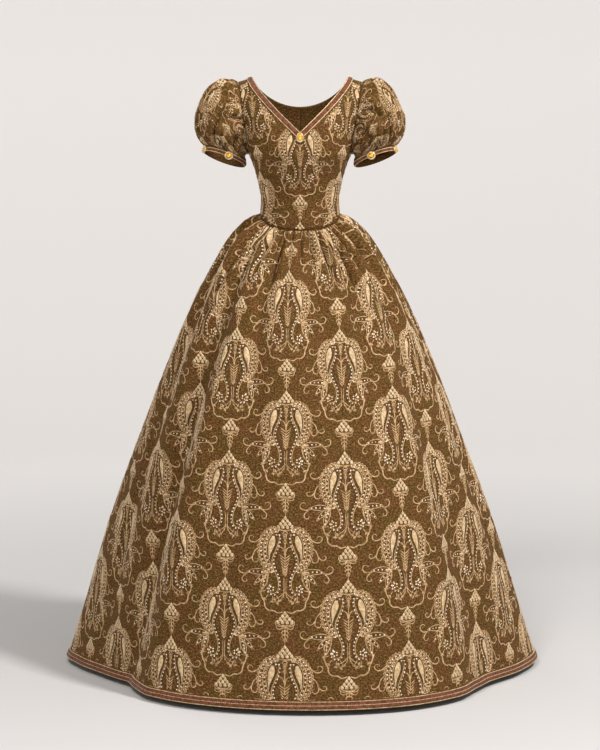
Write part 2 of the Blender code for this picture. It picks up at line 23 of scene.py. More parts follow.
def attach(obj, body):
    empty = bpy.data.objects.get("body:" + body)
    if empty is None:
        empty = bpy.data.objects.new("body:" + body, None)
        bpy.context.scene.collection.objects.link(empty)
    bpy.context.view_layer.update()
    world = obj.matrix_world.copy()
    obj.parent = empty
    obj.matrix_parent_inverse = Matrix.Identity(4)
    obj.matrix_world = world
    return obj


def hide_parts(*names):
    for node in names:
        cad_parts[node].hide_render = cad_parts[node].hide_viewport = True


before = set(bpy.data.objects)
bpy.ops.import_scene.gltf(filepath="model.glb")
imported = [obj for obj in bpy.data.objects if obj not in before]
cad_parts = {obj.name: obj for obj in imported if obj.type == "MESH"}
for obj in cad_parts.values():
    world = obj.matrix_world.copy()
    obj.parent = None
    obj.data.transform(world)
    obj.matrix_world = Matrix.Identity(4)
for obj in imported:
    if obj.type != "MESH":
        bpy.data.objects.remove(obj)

log = logging.getLogger("ball_gown")
Array = np.ndarray
Socket = bpy.types.NodeSocket
Material = bpy.types.Material
Piece = bpy.types.Object
Mesh = bpy.types.Mesh
Node = bpy.types.Node


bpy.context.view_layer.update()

MM = 0.001
BODY = "root"
WELD = 0.00002

# Cloth, as in the solids: the face that shows lies this far outside the sections
BODICE_CLOTH = 0.0020
SKIRT_CLOTH = 0.0022
SLEEVE_CLOTH = 0.0016
BRAID_THICKNESS = 0.0016
SEAM_GAP = 0.0003
BRAID_GAP = 0.0004
SHELL_THICKNESS = 0.0012

# The part of a padded fill's width that is flat
PADDED = 0.6


class BodyRow(NamedTuple):
    """A section of the bodice at a drop below the shoulder line."""

    drop: float
    half_width: float
    front: float
    back: float
    square: float


BODY_ROWS = (
    BodyRow(0.000, 0.1700, 0.095, 0.095, 3.0),
    BodyRow(0.065, 0.1600, 0.102, 0.094, 3.0),
    BodyRow(0.100, 0.1510, 0.107, 0.095, 2.9),
    BodyRow(0.150, 0.1395, 0.112, 0.095, 2.6),
    BodyRow(0.195, 0.1285, 0.113, 0.093, 2.3),
    BodyRow(0.227, 0.1170, 0.106, 0.089, 2.1),
    BodyRow(0.270, 0.1050, 0.094, 0.083, 2.0),
    BodyRow(0.310, 0.0980, 0.085, 0.078, 2.0),
    BodyRow(0.347, 0.1000, 0.083, 0.078, 2.0),
    BodyRow(0.400, 0.1080, 0.086, 0.082, 2.0),
)


class SkirtRow(NamedTuple):
    """A section of the skirt at a share of the way from the waist seam to the hem."""

    share: float
    spread: float
    fine: float
    broad: float
    flute: float


SKIRT_ROWS = (
    SkirtRow(0.0000, 0.0000, 0.0008, 0.0000, 0.00),
    SkirtRow(0.0024, 0.0004, 0.0008, 0.0000, 0.00),
    SkirtRow(0.0065, 0.0290, 0.0036, 0.0000, 0.00),
    SkirtRow(0.0190, 0.0690, 0.0068, 0.0012, 0.00),
    SkirtRow(0.0450, 0.1290, 0.0074, 0.0038, 0.00),
    SkirtRow(0.0950, 0.2060, 0.0052, 0.0068, 0.02),
    SkirtRow(0.1700, 0.3010, 0.0026, 0.0084, 0.06),
    SkirtRow(0.2800, 0.4160, 0.0008, 0.0060, 0.16),
    SkirtRow(0.4400, 0.5660, 0.0000, 0.0024, 0.38),
    SkirtRow(0.6800, 0.7690, 0.0000, 0.0000, 0.72),
    SkirtRow(0.9826, 0.9840, 0.0000, 0.0000, 0.99),
    SkirtRow(1.0000, 1.0000, 0.0000, 0.0000, 1.00),
)


class HemRow(NamedTuple):
    """The hem's radius at an angle round from the centre front, towards the wearer's left."""

    degrees: float
    radius: float


HEM_ROWS = (
    HemRow(-198, 0.562),
    HemRow(-180, 0.592),
    HemRow(-163, 0.566),
    HemRow(-140, 0.606),
    HemRow(-122, 0.612),
    HemRow(-106, 0.568),
    HemRow(-90, 0.606),
    HemRow(-79, 0.576),
    HemRow(-66, 0.540),
    HemRow(-55, 0.528),
    HemRow(-47, 0.549),
    HemRow(-38, 0.583),
    HemRow(-27, 0.599),
    HemRow(0, 0.610),
    HemRow(24, 0.619),
    HemRow(38, 0.605),
    HemRow(48, 0.573),
    HemRow(57, 0.561),
    HemRow(72, 0.587),
    HemRow(89, 0.615),
    HemRow(107, 0.571),
    HemRow(126, 0.612),
    HemRow(144, 0.602),
    HemRow(162, 0.562),
    HemRow(180, 0.592),
    HemRow(197, 0.566),
)


class SleeveRow(NamedTuple):
    """A section of the sleeve that has turned so far from upright about its turning line."""

    share: float
    turned: float
    outside: float
    inside: float
    half_depth: float
    gather: float


SLEEVE_ROWS = (
    SleeveRow(0 / 7, 9.2, 0.2035, 0.0245, 0.0570, 0.0004),
    SleeveRow(1 / 7, 14.5, 0.2145, 0.0250, 0.0670, 0.0028),
    SleeveRow(2 / 7, 20.5, 0.2225, 0.0262, 0.0770, 0.0040),
    SleeveRow(3 / 7, 28.0, 0.2185, 0.0275, 0.0840, 0.0040),
    SleeveRow(4 / 7, 42.0, 0.1955, 0.0262, 0.0860, 0.0036),
    SleeveRow(5 / 7, 55.0, 0.1710, 0.0228, 0.0800, 0.0040),
    SleeveRow(6 / 7, 64.5, 0.1480, 0.0195, 0.0670, 0.0032),
    SleeveRow(7 / 7, 71.1, 0.1225, 0.0159, 0.0533, 0.0000),
)


class Wave(NamedTuple):
    """A wave that runs whole times round the gown or a sleeve."""

    size: float
    count: int
    phase: float


class Crease(NamedTuple):
    """A trough (rise below 0) or ridge pressed in the cloth.

    Its place and drift are degrees round the skirt or sleeve, and metres across the bodice. Its
    top and bottom are shares of the way down, and drops on the bodice. Its width is in metres,
    and in degrees on a sleeve. Crowding lifts its deepest point, and a core gives it a sharp keel.
    """

    place: float
    top: float
    bottom: float
    drift: float
    width: float
    rise: float
    crowding: float = 1.0
    core: float = 0.0


def vec(x: Array | float, y: Array | float, z: Array | float) -> Array:
    """Points from their coordinates, of any shapes that fit together."""
    return np.stack(np.broadcast_arrays(x, y, z), axis=-1).astype(float)


def unit(v: Array) -> Array:
    """Vectors of the same directions and of length 1."""
    return v / np.maximum(np.linalg.norm(v, axis=-1, keepdims=True), 1e-12)


def dot(a: Array, b: Array) -> Array:
    """Scalar products, kept as a last axis of length 1."""
    return (a * b).sum(axis=-1, keepdims=True)


def mix(a: Array | float, b: Array | float, share: Array | float) -> Array | float:
    """The value that lies that share of the way from a to b."""
    return a + (b - a) * share


def waves(rows: Iterable[Wave], angle: Array) -> Array:
    """The sum of some waves at an angle round."""
    return sum(row.size * np.sin(row.count * angle + row.phase) for row in rows)


def smooth(rows: Sequence[NamedTuple], column: str, at: Array | float) -> Array:
    """Read a column of a table between its rows, along a curve that never overshoots them.

    Args:
        rows: the table; its first column is the key.
        column: the name of the column to read.
        at: the keys to read it at.

    Returns:
        The column's values there.
    """
    keys = np.array([row[0] for row in rows], float)
    values = np.array([getattr(row, column) for row in rows], float)
    at = np.clip(np.asarray(at, float), keys[0], keys[-1])
    slopes = np.diff(values) / np.diff(keys)
    before, after = slopes[:-1], slopes[1:]
    same_way = before * after > 0
    inner = np.where(same_way, 2 * before * after / np.where(same_way, before + after, 1), 0)
    tangents = np.concatenate([slopes[:1], inner, slopes[-1:]])
    here = np.clip(np.searchsorted(keys, at, side="right") - 1, 0, len(keys) - 2)
    width = keys[here + 1] - keys[here]
    t = (at - keys[here]) / width
    start = (1 + 2 * t) * (1 - t) ** 2 * values[here]
    end = t * t * (3 - 2 * t) * values[here + 1]
    leaving = t * (1 - t) ** 2 * width * tangents[here]
    arriving = t * t * (t - 1) * width * tangents[here + 1]
    return start + end + leaving + arriving


def lengths_along(points: Array) -> Array:
    """The length walked along a line of points at each of them, from 0 at the first."""
    steps = np.linalg.norm(np.diff(points, axis=0), axis=-1)
    return np.concatenate([np.zeros((1, *steps.shape[1:])), np.cumsum(steps, axis=0)])


class Cloth:
    """A grid of points over a piece of worn cloth, which knows where each lies when flat.

    Rows run down the cloth and columns across it.
    """

    def __init__(self, points: Array, normals: Array, across: Array, down: Array) -> None:
        """Keep the grid.

        Args:
            points: the face that shows, rows by columns.
            normals: the outward normals there.
            across: for each point, how far across the flat cloth it lies.
            down: for each row, how far down the flat cloth it lies.
        """
        self.points = points
        self.normals = normals
        self.across = np.broadcast_to(across, points.shape[:2])
        self.down = down
        self.room: Array | None = None

    def rows(self, first: int, last: int) -> Cloth:
        """The cloth's rows from the first up to the last."""
        kept = slice(first, last)
        return Cloth(self.points[kept], self.normals[kept], self.across[kept], self.down[kept])

    def flat(self) -> Array:
        """Where every point lies on the flat cloth, with up in the second coordinate."""
        down = np.broadcast_to(self.down[:, None], self.across.shape)
        return np.stack([self.across.ravel(), -down.ravel()], axis=1)

    def lay(
        self, across: Array, down: Array, height: Array, clearance: float = 0.0
    ) -> tuple[Array, Array]:
        """Carry points of the flat cloth to the worn cloth.

        Args:
            across: how far across the flat cloth each point lies.
            down: how far down it lies.
            height: how far it stands off the cloth.
            clearance: how far inside the piece's edges a point must lie, where they are known.

        Returns:
            The points in space, and which of them lie on the piece.
        """
        rows = np.interp(down, self.down, np.arange(len(self.down)))
        above = np.clip(rows.astype(int), 0, len(self.down) - 2)
        inside = (down >= self.down[0]) & (down <= self.down[-1])
        places = []
        for row in (above, above + 1):
            columns, within = self._columns(across, row)
            inside &= within
            if self.room is not None:
                inside &= self.room[row, np.round(columns).astype(int)] > clearance
            places.append(self._read(row, columns, height))
        return mix(*places, (rows - above)[:, None]), inside

    def _columns(self, across: Array, row: Array) -> tuple[Array, Array]:
        """For points across given rows, their columns and whether the rows reach them.

        Args:
            across: how far across each point lies.
            row: the row that each is in.

        Returns:
            The columns, between whole ones too, and whether the row reaches the point.
        """
        columns = np.zeros(len(across))
        within = np.zeros(len(across), bool)
        order = np.argsort(row, kind="stable")
        cuts = np.flatnonzero(np.diff(row[order])) + 1
        for group in np.split(order, cuts):
            reach = self.across[row[group[0]]]
            columns[group] = np.interp(across[group], reach, np.arange(len(reach)))
            within[group] = (across[group] >= reach[0]) & (across[group] <= reach[-1])
        return columns, within

    def _read(self, row: Array, columns: Array, height: Array) -> Array:
        """Points at a height over the grid, between two columns of a row.

        Args:
            row: their rows.
            columns: their columns.
            height: their heights.

        Returns:
            The points.
        """
        left = np.clip(columns.astype(int), 0, self.points.shape[1] - 2)
        part = (columns - left)[:, None]
        point = mix(self.points[row, left], self.points[row, left + 1], part)
        normal = mix(self.normals[row, left], self.normals[row, left + 1], part)
        return point + unit(normal) * height[:, None]


def grid_normals(points: Array, outwards: Array, closed: bool = False) -> Array:
    """Normals of a grid of points.

    Args:
        points: rows by columns of points.
        outwards: a rough outward direction at each point.
        closed: whether the last column lies on the first.

    Returns:
        The unit normals on that side.
    """
    across = np.gradient(points, axis=1)
    if closed:
        wrapped = (points[:, 1] - points[:, -2]) / 2
        across[:, [0, -1]] = wrapped[:, None]
    normals = unit(np.cross(np.gradient(points, axis=0), across))
    return normals * np.where(dot(normals, outwards) < 0, -1, 1)


def grid_faces(rows: int, columns: int) -> Array:
    """The quads of a grid of points whose rows are joined end to end in one list."""
    index = np.arange(rows * columns).reshape(rows, columns)
    corners = index[:-1, :-1], index[1:, :-1], index[1:, 1:], index[:-1, 1:]
    return np.stack([c.ravel() for c in corners], axis=1)


def mesh_of(name: str, points: Array, faces: Array, flat: Array | None = None) -> Mesh:
    """A smooth mesh from arrays.

    Args:
        name: the mesh's name.
        points: its vertices.
        faces: its faces, all with as many corners.
        flat: where each vertex lies on the flat cloth, kept as texture coordinates in metres.

    Returns:
        The mesh.
    """
    mesh = bpy.data.meshes.new(name)
    count, corners = faces.shape
    mesh.vertices.add(len(points))
    mesh.vertices.foreach_set("co", points.astype(np.float32).ravel())
    mesh.loops.add(count * corners)
    mesh.loops.foreach_set("vertex_index", faces.astype(np.int32).ravel())
    mesh.polygons.add(count)
    mesh.polygons.foreach_set("loop_start", np.arange(0, count * corners, corners, dtype=np.int32))
    mesh.update(calc_edges=True)
    if flat is not None:
        layer = mesh.uv_layers.new(name="cloth")
        layer.data.foreach_set("uv", flat[faces.ravel()].astype(np.float32).ravel())
    mesh.validate()
    mesh.shade_smooth()
    return mesh


def weld(mesh: Mesh) -> None:
    """Join the points of a mesh that lie on each other."""
    shape = bmesh.new()
    shape.from_mesh(mesh)
    bmesh.ops.remove_doubles(shape, verts=shape.verts, dist=WELD)
    shape.to_mesh(mesh)
    shape.free()
    mesh.shade_smooth()


def place_piece(name: str, mesh: Mesh, finishes: Sequence[Material]) -> Piece:
    """Put a piece in the scene, finished and riding on the gown.

    Args:
        name: the piece's name.
        mesh: its mesh.
        finishes: its materials, in the order that the mesh's faces number them.

    Returns:
        The new object.
    """
    piece = bpy.data.objects.new(name, mesh)
    for finish in finishes:
        mesh.materials.append(finish)
    bpy.context.scene.collection.objects.link(piece)
    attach(piece, BODY)
    log.info("%s: %d faces", name, len(mesh.polygons))
    return piece


def place_cloth(node: str, mesh: Mesh, finish: Material) -> Piece:
    """Put a sheet in place of its solid, as thick as cloth inwards from the face that shows.

    Args:
        node: the solid's name.
        mesh: the sheet, as its face that shows.
        finish: its material.

    Returns:
        The new piece.
    """
    shell = place_piece(node + "_cloth", mesh, [finish])
    solid = shell.modifiers.new("cloth", "SOLIDIFY")
    solid.thickness = SHELL_THICKNESS
    solid.offset = -1
    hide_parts(node)
    return shell


def turned_out(points: Array, faces: Array, normals: Array) -> Array:
    """The faces, turned over if on the whole they look away from their points' normals.

    Args:
        points: the points.
        faces: the faces.
        normals: the points' outward normals.

    Returns:
        The faces, all turned over or none.
    """
    a, b, c = (points[faces[:, k]] for k in range(3))
    looks = np.cross(b - a, c - a)
    if (looks * normals[faces[:, 0]]).sum() < 0:
        return faces[:, ::-1]
    return faces


@dataclass(frozen=True)
class Torso:
    """The inner face of the bodice, on the wearer's left half.

    A point is told by its turn, from 0 at the side seam to a quarter circle at the centre, and
    its climb, the square root of its drop below the shoulder line, below 0 behind.
    """

    neck_half_width: float = 0.1215
    front_neck_drop: float = 0.146
    back_neck_drop: float = 0.070
    front_neck_curve: float = 1.28
    front_neck_spacing: float = 1.50
    back_neck_curve: float = 1.50
    neck_braid_width: float = 0.0155
    shoulder_half_width: float = 0.159
    shoulder_slope: float = 0.30
    shoulder_slope_fade: float = 0.05
    shoulder_ease: float = 0.0025
    shoulder_rounding: float = 0.17
    underarm_drop: float = 0.195
    armhole_narrowing: float = 0.0305
    armhole_curve: float = 0.80
    waist_drop_side: float = 0.347
    waist_dip_front: float = 0.045
    waist_dip_back: float = 0.013
    bust_fullness: float = 0.007
    bust_across: float = 0.056
    bust_drop: float = 0.205
    bust_spread: float = 0.040
    least_fall: float = 0.5
    surface_step: float = 1e-4
    line_step: float = 1e-3

    def point(self, turn: Array, climb: Array) -> Array:
        """Points of the inner face.

        Args:
            turn: the turns.
            climb: the climbs.

        Returns:
            The points in space.
        """
        drop = climb * climb
        square = smooth(BODY_ROWS, "square", drop)
        cosine, sine = np.cos(turn), np.sin(turn)
        scale = (np.abs(cosine) ** square + np.abs(sine) ** square) ** (1 / square)
        x = smooth(BODY_ROWS, "half_width", drop) * cosine / scale
        rounding = np.minimum(drop / self.shoulder_rounding, 1.0)
        front = smooth(BODY_ROWS, "front", drop)
        depth = np.where(climb > 0, front, smooth(BODY_ROWS, "back", drop))
        depth = depth * np.sqrt(1 - (1 - rounding) ** 2) * sine / scale
        off = ((x - self.bust_across) ** 2 + (drop - self.bust_drop) ** 2) / self.bust_spread**2
        depth = depth + np.where(climb > 0, self.bust_fullness * np.exp(-off), 0)
        slope = self.shoulder_ease + self.shoulder_slope * np.maximum(0, x - self.neck_half_width)
        z = -drop - slope * np.exp(-drop / self.shoulder_slope_fade)
        return vec(x, -np.copysign(depth, climb), z)

    def normal(self, turn: Array, climb: Array) -> Array:
        """The outward normals at some points.

        Args:
            turn: the points' turns.
            climb: their climbs.

        Returns:
            The unit normals.
        """
        step = self.surface_step
        by_turn = self.point(turn + step, climb) - self.point(turn - step, climb)
        by_climb = self.point(turn, climb + step) - self.point(turn, climb - step)
        normal = unit(np.cross(by_turn, by_climb))
        outwards = self.point(turn, climb) + [0, 0, self.waist_drop_side / 2]
        return normal * np.where(dot(normal, outwards) < 0, -1, 1)

    def turn_at(self, across: Array, drop: Array) -> Array:
        """The turns at which the sections at some drops are that far from the centre."""
        share = np.minimum(across / smooth(BODY_ROWS, "half_width", drop), 1.0)
        square = smooth(BODY_ROWS, "square", drop)
        return np.arctan2((1 - share**square) ** (1 / square), share)

    def neck_line(self, side: Array, share: Array) -> tuple[Array, Array]:
        """The neckline from the shoulder (share 0) to the centre (1), before or behind.

        Args:
            side: 1 in front and -1 behind.
            share: how far along the neckline.

        Returns:
            The turns and climbs.
        """
        level = share**self.front_neck_spacing
        arc = share * np.pi / 2
        front = side > 0
        sine = np.maximum(np.sin(arc), 0)
        back_drop = self.back_neck_drop * sine**self.back_neck_curve
        drop = np.where(front, self.front_neck_drop * level, back_drop)
        front_reach = np.maximum(1 - level**self.front_neck_curve, 0)
        reach = np.where(front, front_reach, np.maximum(np.cos(arc), 0))
        return self.turn_at(self.neck_half_width * reach, drop), side * np.sqrt(drop)

    def armhole_line(self, side: Array, share: Array) -> tuple[Array, Array]:
        """The armhole from the shoulder (share 0) to the underarm (1), as turns and climbs.

        Args:
            side: 1 in front and -1 behind.
            share: how far along the armhole.

        Returns:
            The turns and climbs.
        """
        drop = self.underarm_drop * (1 - np.cos(np.pi * share)) / 2
        narrowing = self.armhole_narrowing * (drop / self.underarm_drop) ** self.armhole_curve
        turn = self.turn_at(self.shoulder_half_width - narrowing, drop)
        return turn, side * np.sqrt(drop)

    def along(self, line: Callable, side: Array, share: Array) -> Array:
        """The directions of the neckline or armhole at shares of the way along it.

        Args:
            line: the method that gives the line.
            side: 1 in front and -1 behind.
            share: how far along it.

        Returns:
            The unit directions.
        """
        near_end = self.line_step / 10
        before = self.point(*line(side, np.maximum(share - self.line_step, near_end)))
        after = self.point(*line(side, np.minimum(share + self.line_step, 1 - near_end)))
        return unit(after - before)

    def walk(self, turn: Array, climb: Array, way: Array, length: float) -> tuple[Array, Array]:
        """Walk over the surface.

        Args:
            turn: the turns to start from.
            climb: the climbs to start from.
            way: the directions to walk in.
            length: how far to walk.

        Returns:
            The turns and climbs reached.
        """
        step = self.surface_step
        strides = 4
        for _ in range(strides):
            by_turn = self.point(turn + step, climb) - self.point(turn - step, climb)
            by_climb = self.point(turn, climb + step) - self.point(turn, climb - step)
            by_turn, by_climb = by_turn / (2 * step), by_climb / (2 * step)
            a = dot(by_turn, by_turn)[..., 0]
            b = dot(by_turn, by_climb)[..., 0]
            c = dot(by_climb, by_climb)[..., 0]
            p, q = dot(by_turn, way)[..., 0], dot(by_climb, way)[..., 0]
            scale = length / strides / (a * c - b * b)
            turn, climb = turn + (c * p - b * q) * scale, climb + (a * q - b * p) * scale
        return turn, climb

    def braid_edge(self, side: float, share: Array) -> tuple[Array, Array]:
        """Where the neck braid ends on the cloth, mitred on the centre line.

        Args:
            side: 1 in front and -1 behind.
            share: how far along the neckline.

        Returns:
            The turns and climbs.
        """
        inner = np.clip(share, 1e-6, 1 - 1e-6)
        turn, climb = self.neck_line(side, inner)
        way = np.cross(self.normal(turn, climb), self.along(self.neck_line, side, inner) * side)
        way = unit(way)
        turn, climb = self.walk(turn, climb, way, self.neck_braid_width)
        end_drop = self.front_neck_drop if side > 0 else self.back_neck_drop
        end_drop += self.neck_braid_width / max(-float(way[-1, 2]), self.least_fall)
        shoulder = self.turn_at(self.neck_half_width + self.neck_braid_width, np.array(0.0))
        turn = np.where(share <= 0, shoulder, np.where(share >= 1, np.pi / 2, turn))
        climb = np.where(share <= 0, 0, np.where(share >= 1, side * np.sqrt(end_drop), climb))
        return turn, climb

    def waist_drop(self, side: Array, turn: Array) -> Array:
        """How far the waist seam lies below the shoulder line."""
        dip = np.where(side > 0, self.waist_dip_front, self.waist_dip_back)
        return self.waist_drop_side + dip * np.sin(turn)

    def waist_ring(self, angle: Array) -> Array:
        """Points of the bodice's lower edge at angles round from the centre front.

        Args:
            angle: the angles, towards the wearer's left.

        Returns:
            The points.
        """
        side = np.where(np.cos(angle) >= 0, 1.0, -1.0)
        turn = np.arcsin(np.minimum(np.abs(np.cos(angle)), 1.0))
        point = self.point(turn, side * np.sqrt(self.waist_drop(side, turn)))
        point[..., 0] = np.copysign(point[..., 0], np.sin(angle))
        return point


TORSO = Torso()


class Thread(Enum):
    """The threads that the damask is worked in, in the order of their material slots."""

    TAN_CORD = 0
    CREAM_SATIN = 1
    # Dark silk outlines, laid beside and under the raised satin and cords: partly real outline, partly
    # painted shade at those edges
    DARK_OUTLINE_AND_SHADE = 2


class Spot(NamedTuple):
    """A point of the flat drawing in millimetres: x from the motif's centre line, y down."""

    x: float
    y: float


def spaced(line: Array, step: float) -> Array:
    """Sample a line again at even steps, with both its ends kept."""
    run = lengths_along(line)
    at = np.linspace(0, run[-1], max(2, int(round(run[-1] / step)) + 1))
    return np.stack([np.interp(at, run, line[:, k]) for k in range(line.shape[1])], axis=1)


def flow(spots: Sequence[Spot], step: float) -> Array:
    """Draw a smooth line through a few points.

    Args:
        spots: the points that the line passes through.
        step: the distance between the samples of the line, in millimetres.

    Returns:
        The line's samples, evenly spaced.
    """
    points = np.array(spots, float)
    points = np.vstack([2 * points[0] - points[1], points, 2 * points[-1] - points[-2]])
    t = np.linspace(0, 1, 12, endpoint=False)[:, None]
    runs = []
    for a, b, c, d in zip(points, points[1:], points[2:], points[3:]):
        square, cube = 2 * a - 5 * b + 4 * c - d, 3 * b - a - 3 * c + d
        runs.append(0.5 * (2 * b + (c - a) * t + square * t**2 + cube * t**3))
    return spaced(np.vstack([*runs, points[-2:-1]]), step)


def tendril(start: Spot, heading: float, length: float, turn: float, tight: float, step: float) -> Array:
    """Draw a scroll that curls more and more.

    Args:
        start: where it springs from.
        heading: the way it sets out, in degrees from outwards (0) towards down (90).
        length: its length in millimetres.
        turn: how far it turns in all, in degrees, clockwise on the right half.
        tight: how late it curls up; 1 is an arc of a circle.
        step: the distance between its samples.

    Returns:
        The scroll's samples.
    """
    count = 60
    share = (np.arange(count) + 0.5) / count
    way = np.radians(heading + turn * share**tight)
    moves = np.stack([np.cos(way), np.sin(way)], axis=1) * length / count
    line = np.vstack([[0, 0], np.cumsum(moves, axis=0)]) + np.array(start, float)
    return spaced(line, step)


def sideways(line: Array) -> Array:
    """The direction to the right of a line at each of its samples, seen along it."""
    way = unit(np.gradient(line, axis=0))
    return np.stack([-way[:, 1], way[:, 0]], axis=1)


def beside(line: Array, off: Array | float) -> Array:
    """Draw a line at a distance to the right of another one."""
    return line + sideways(line) * np.reshape(off, (-1, 1))


def along(values: Sequence[float], count: int) -> Array:
    """Values given at even places along a line, read at each of its samples."""
    return np.interp(np.linspace(0, 1, count), np.linspace(0, 1, len(values)), values)


def ribbon(
    line: Array, width: Array, base: Array | float, rise: float, lobes: int = 1
) -> tuple[Array, Array]:
    """A raised line of thread on flat cloth.

    Args:
        line: the samples of its middle line.
        width: its width at each of them.
        base: the height of its edges.
        rise: how far its middle stands above them.
        lobes: 1 for a round cord, 2 for a broad padded fill.

    Returns:
        Its points, with their height as a third coordinate, and its quads.
    """
    reach = np.array([-1, 0, 1]) if lobes == 1 else np.array([-1, -PADDED, PADDED, 1])
    swell = np.array([0, 1, 0]) if lobes == 1 else np.array([0, 1, 1, 0])
    off = sideways(line)[:, None] * (width[:, None] / 2 * reach)[..., None]
    flat = line[:, None] + off
    height = np.broadcast_to(base, len(line))[:, None] + rise * swell
    points = np.concatenate([flat, height[..., None]], axis=-1)
    return points.reshape(-1, 3), grid_faces(len(line), len(reach))


@dataclass
class Drawing:
    """Stitched lines and beads of a flat design, in millimetres."""

    points: list[Array] = field(default_factory=list)
    faces: list[Array] = field(default_factory=list)
    threads: list[Array] = field(default_factory=list)
    beads: list[tuple[float, float, float]] = field(default_factory=list)
    count: int = 0
    sink: float = 0.3
    broad: float = 7.0
    on_middle: float = 0.01

    def stitch(
        self,
        line: Array,
        widths: Sequence[float],
        thread: Thread = Thread.TAN_CORD,
        rise: float = 0.9,
    ) -> None:
        """Work a line in thread, on both halves of the design unless it lies on the middle.

        Args:
            line: the samples of its middle line.
            widths: its widths at even places along it.
            thread: the thread.
            rise: how far it stands off the cloth.
        """
        width = along(widths, len(line))
        lobes = 2 if max(widths) > self.broad else 1
        halves = (1, -1) if np.abs(line[:, 0]).max() > self.on_middle else (1,)
        for half in halves:
            points, faces = ribbon(line * [half, 1], width, -self.sink, rise + self.sink, lobes)
            self.points.append(points)
            self.faces.append(faces + self.count)
            self.threads.append(np.full(len(faces), thread.value))
            self.count += len(points)

    def bead(self, spot: Sequence[float], size: float) -> None:
        """Sew on one bead, and its twin on the other half."""
        self.beads.append((spot[0], spot[1], size))
        if abs(spot[0]) > self.on_middle:
            self.beads.append((-spot[0], spot[1], size))

    def bead_row(self, line: Array, pitch: float, size: float) -> None:
        """Sew beads along a line, on both halves of the design."""
        for spot in spaced(line, pitch):
            self.bead(spot, size)


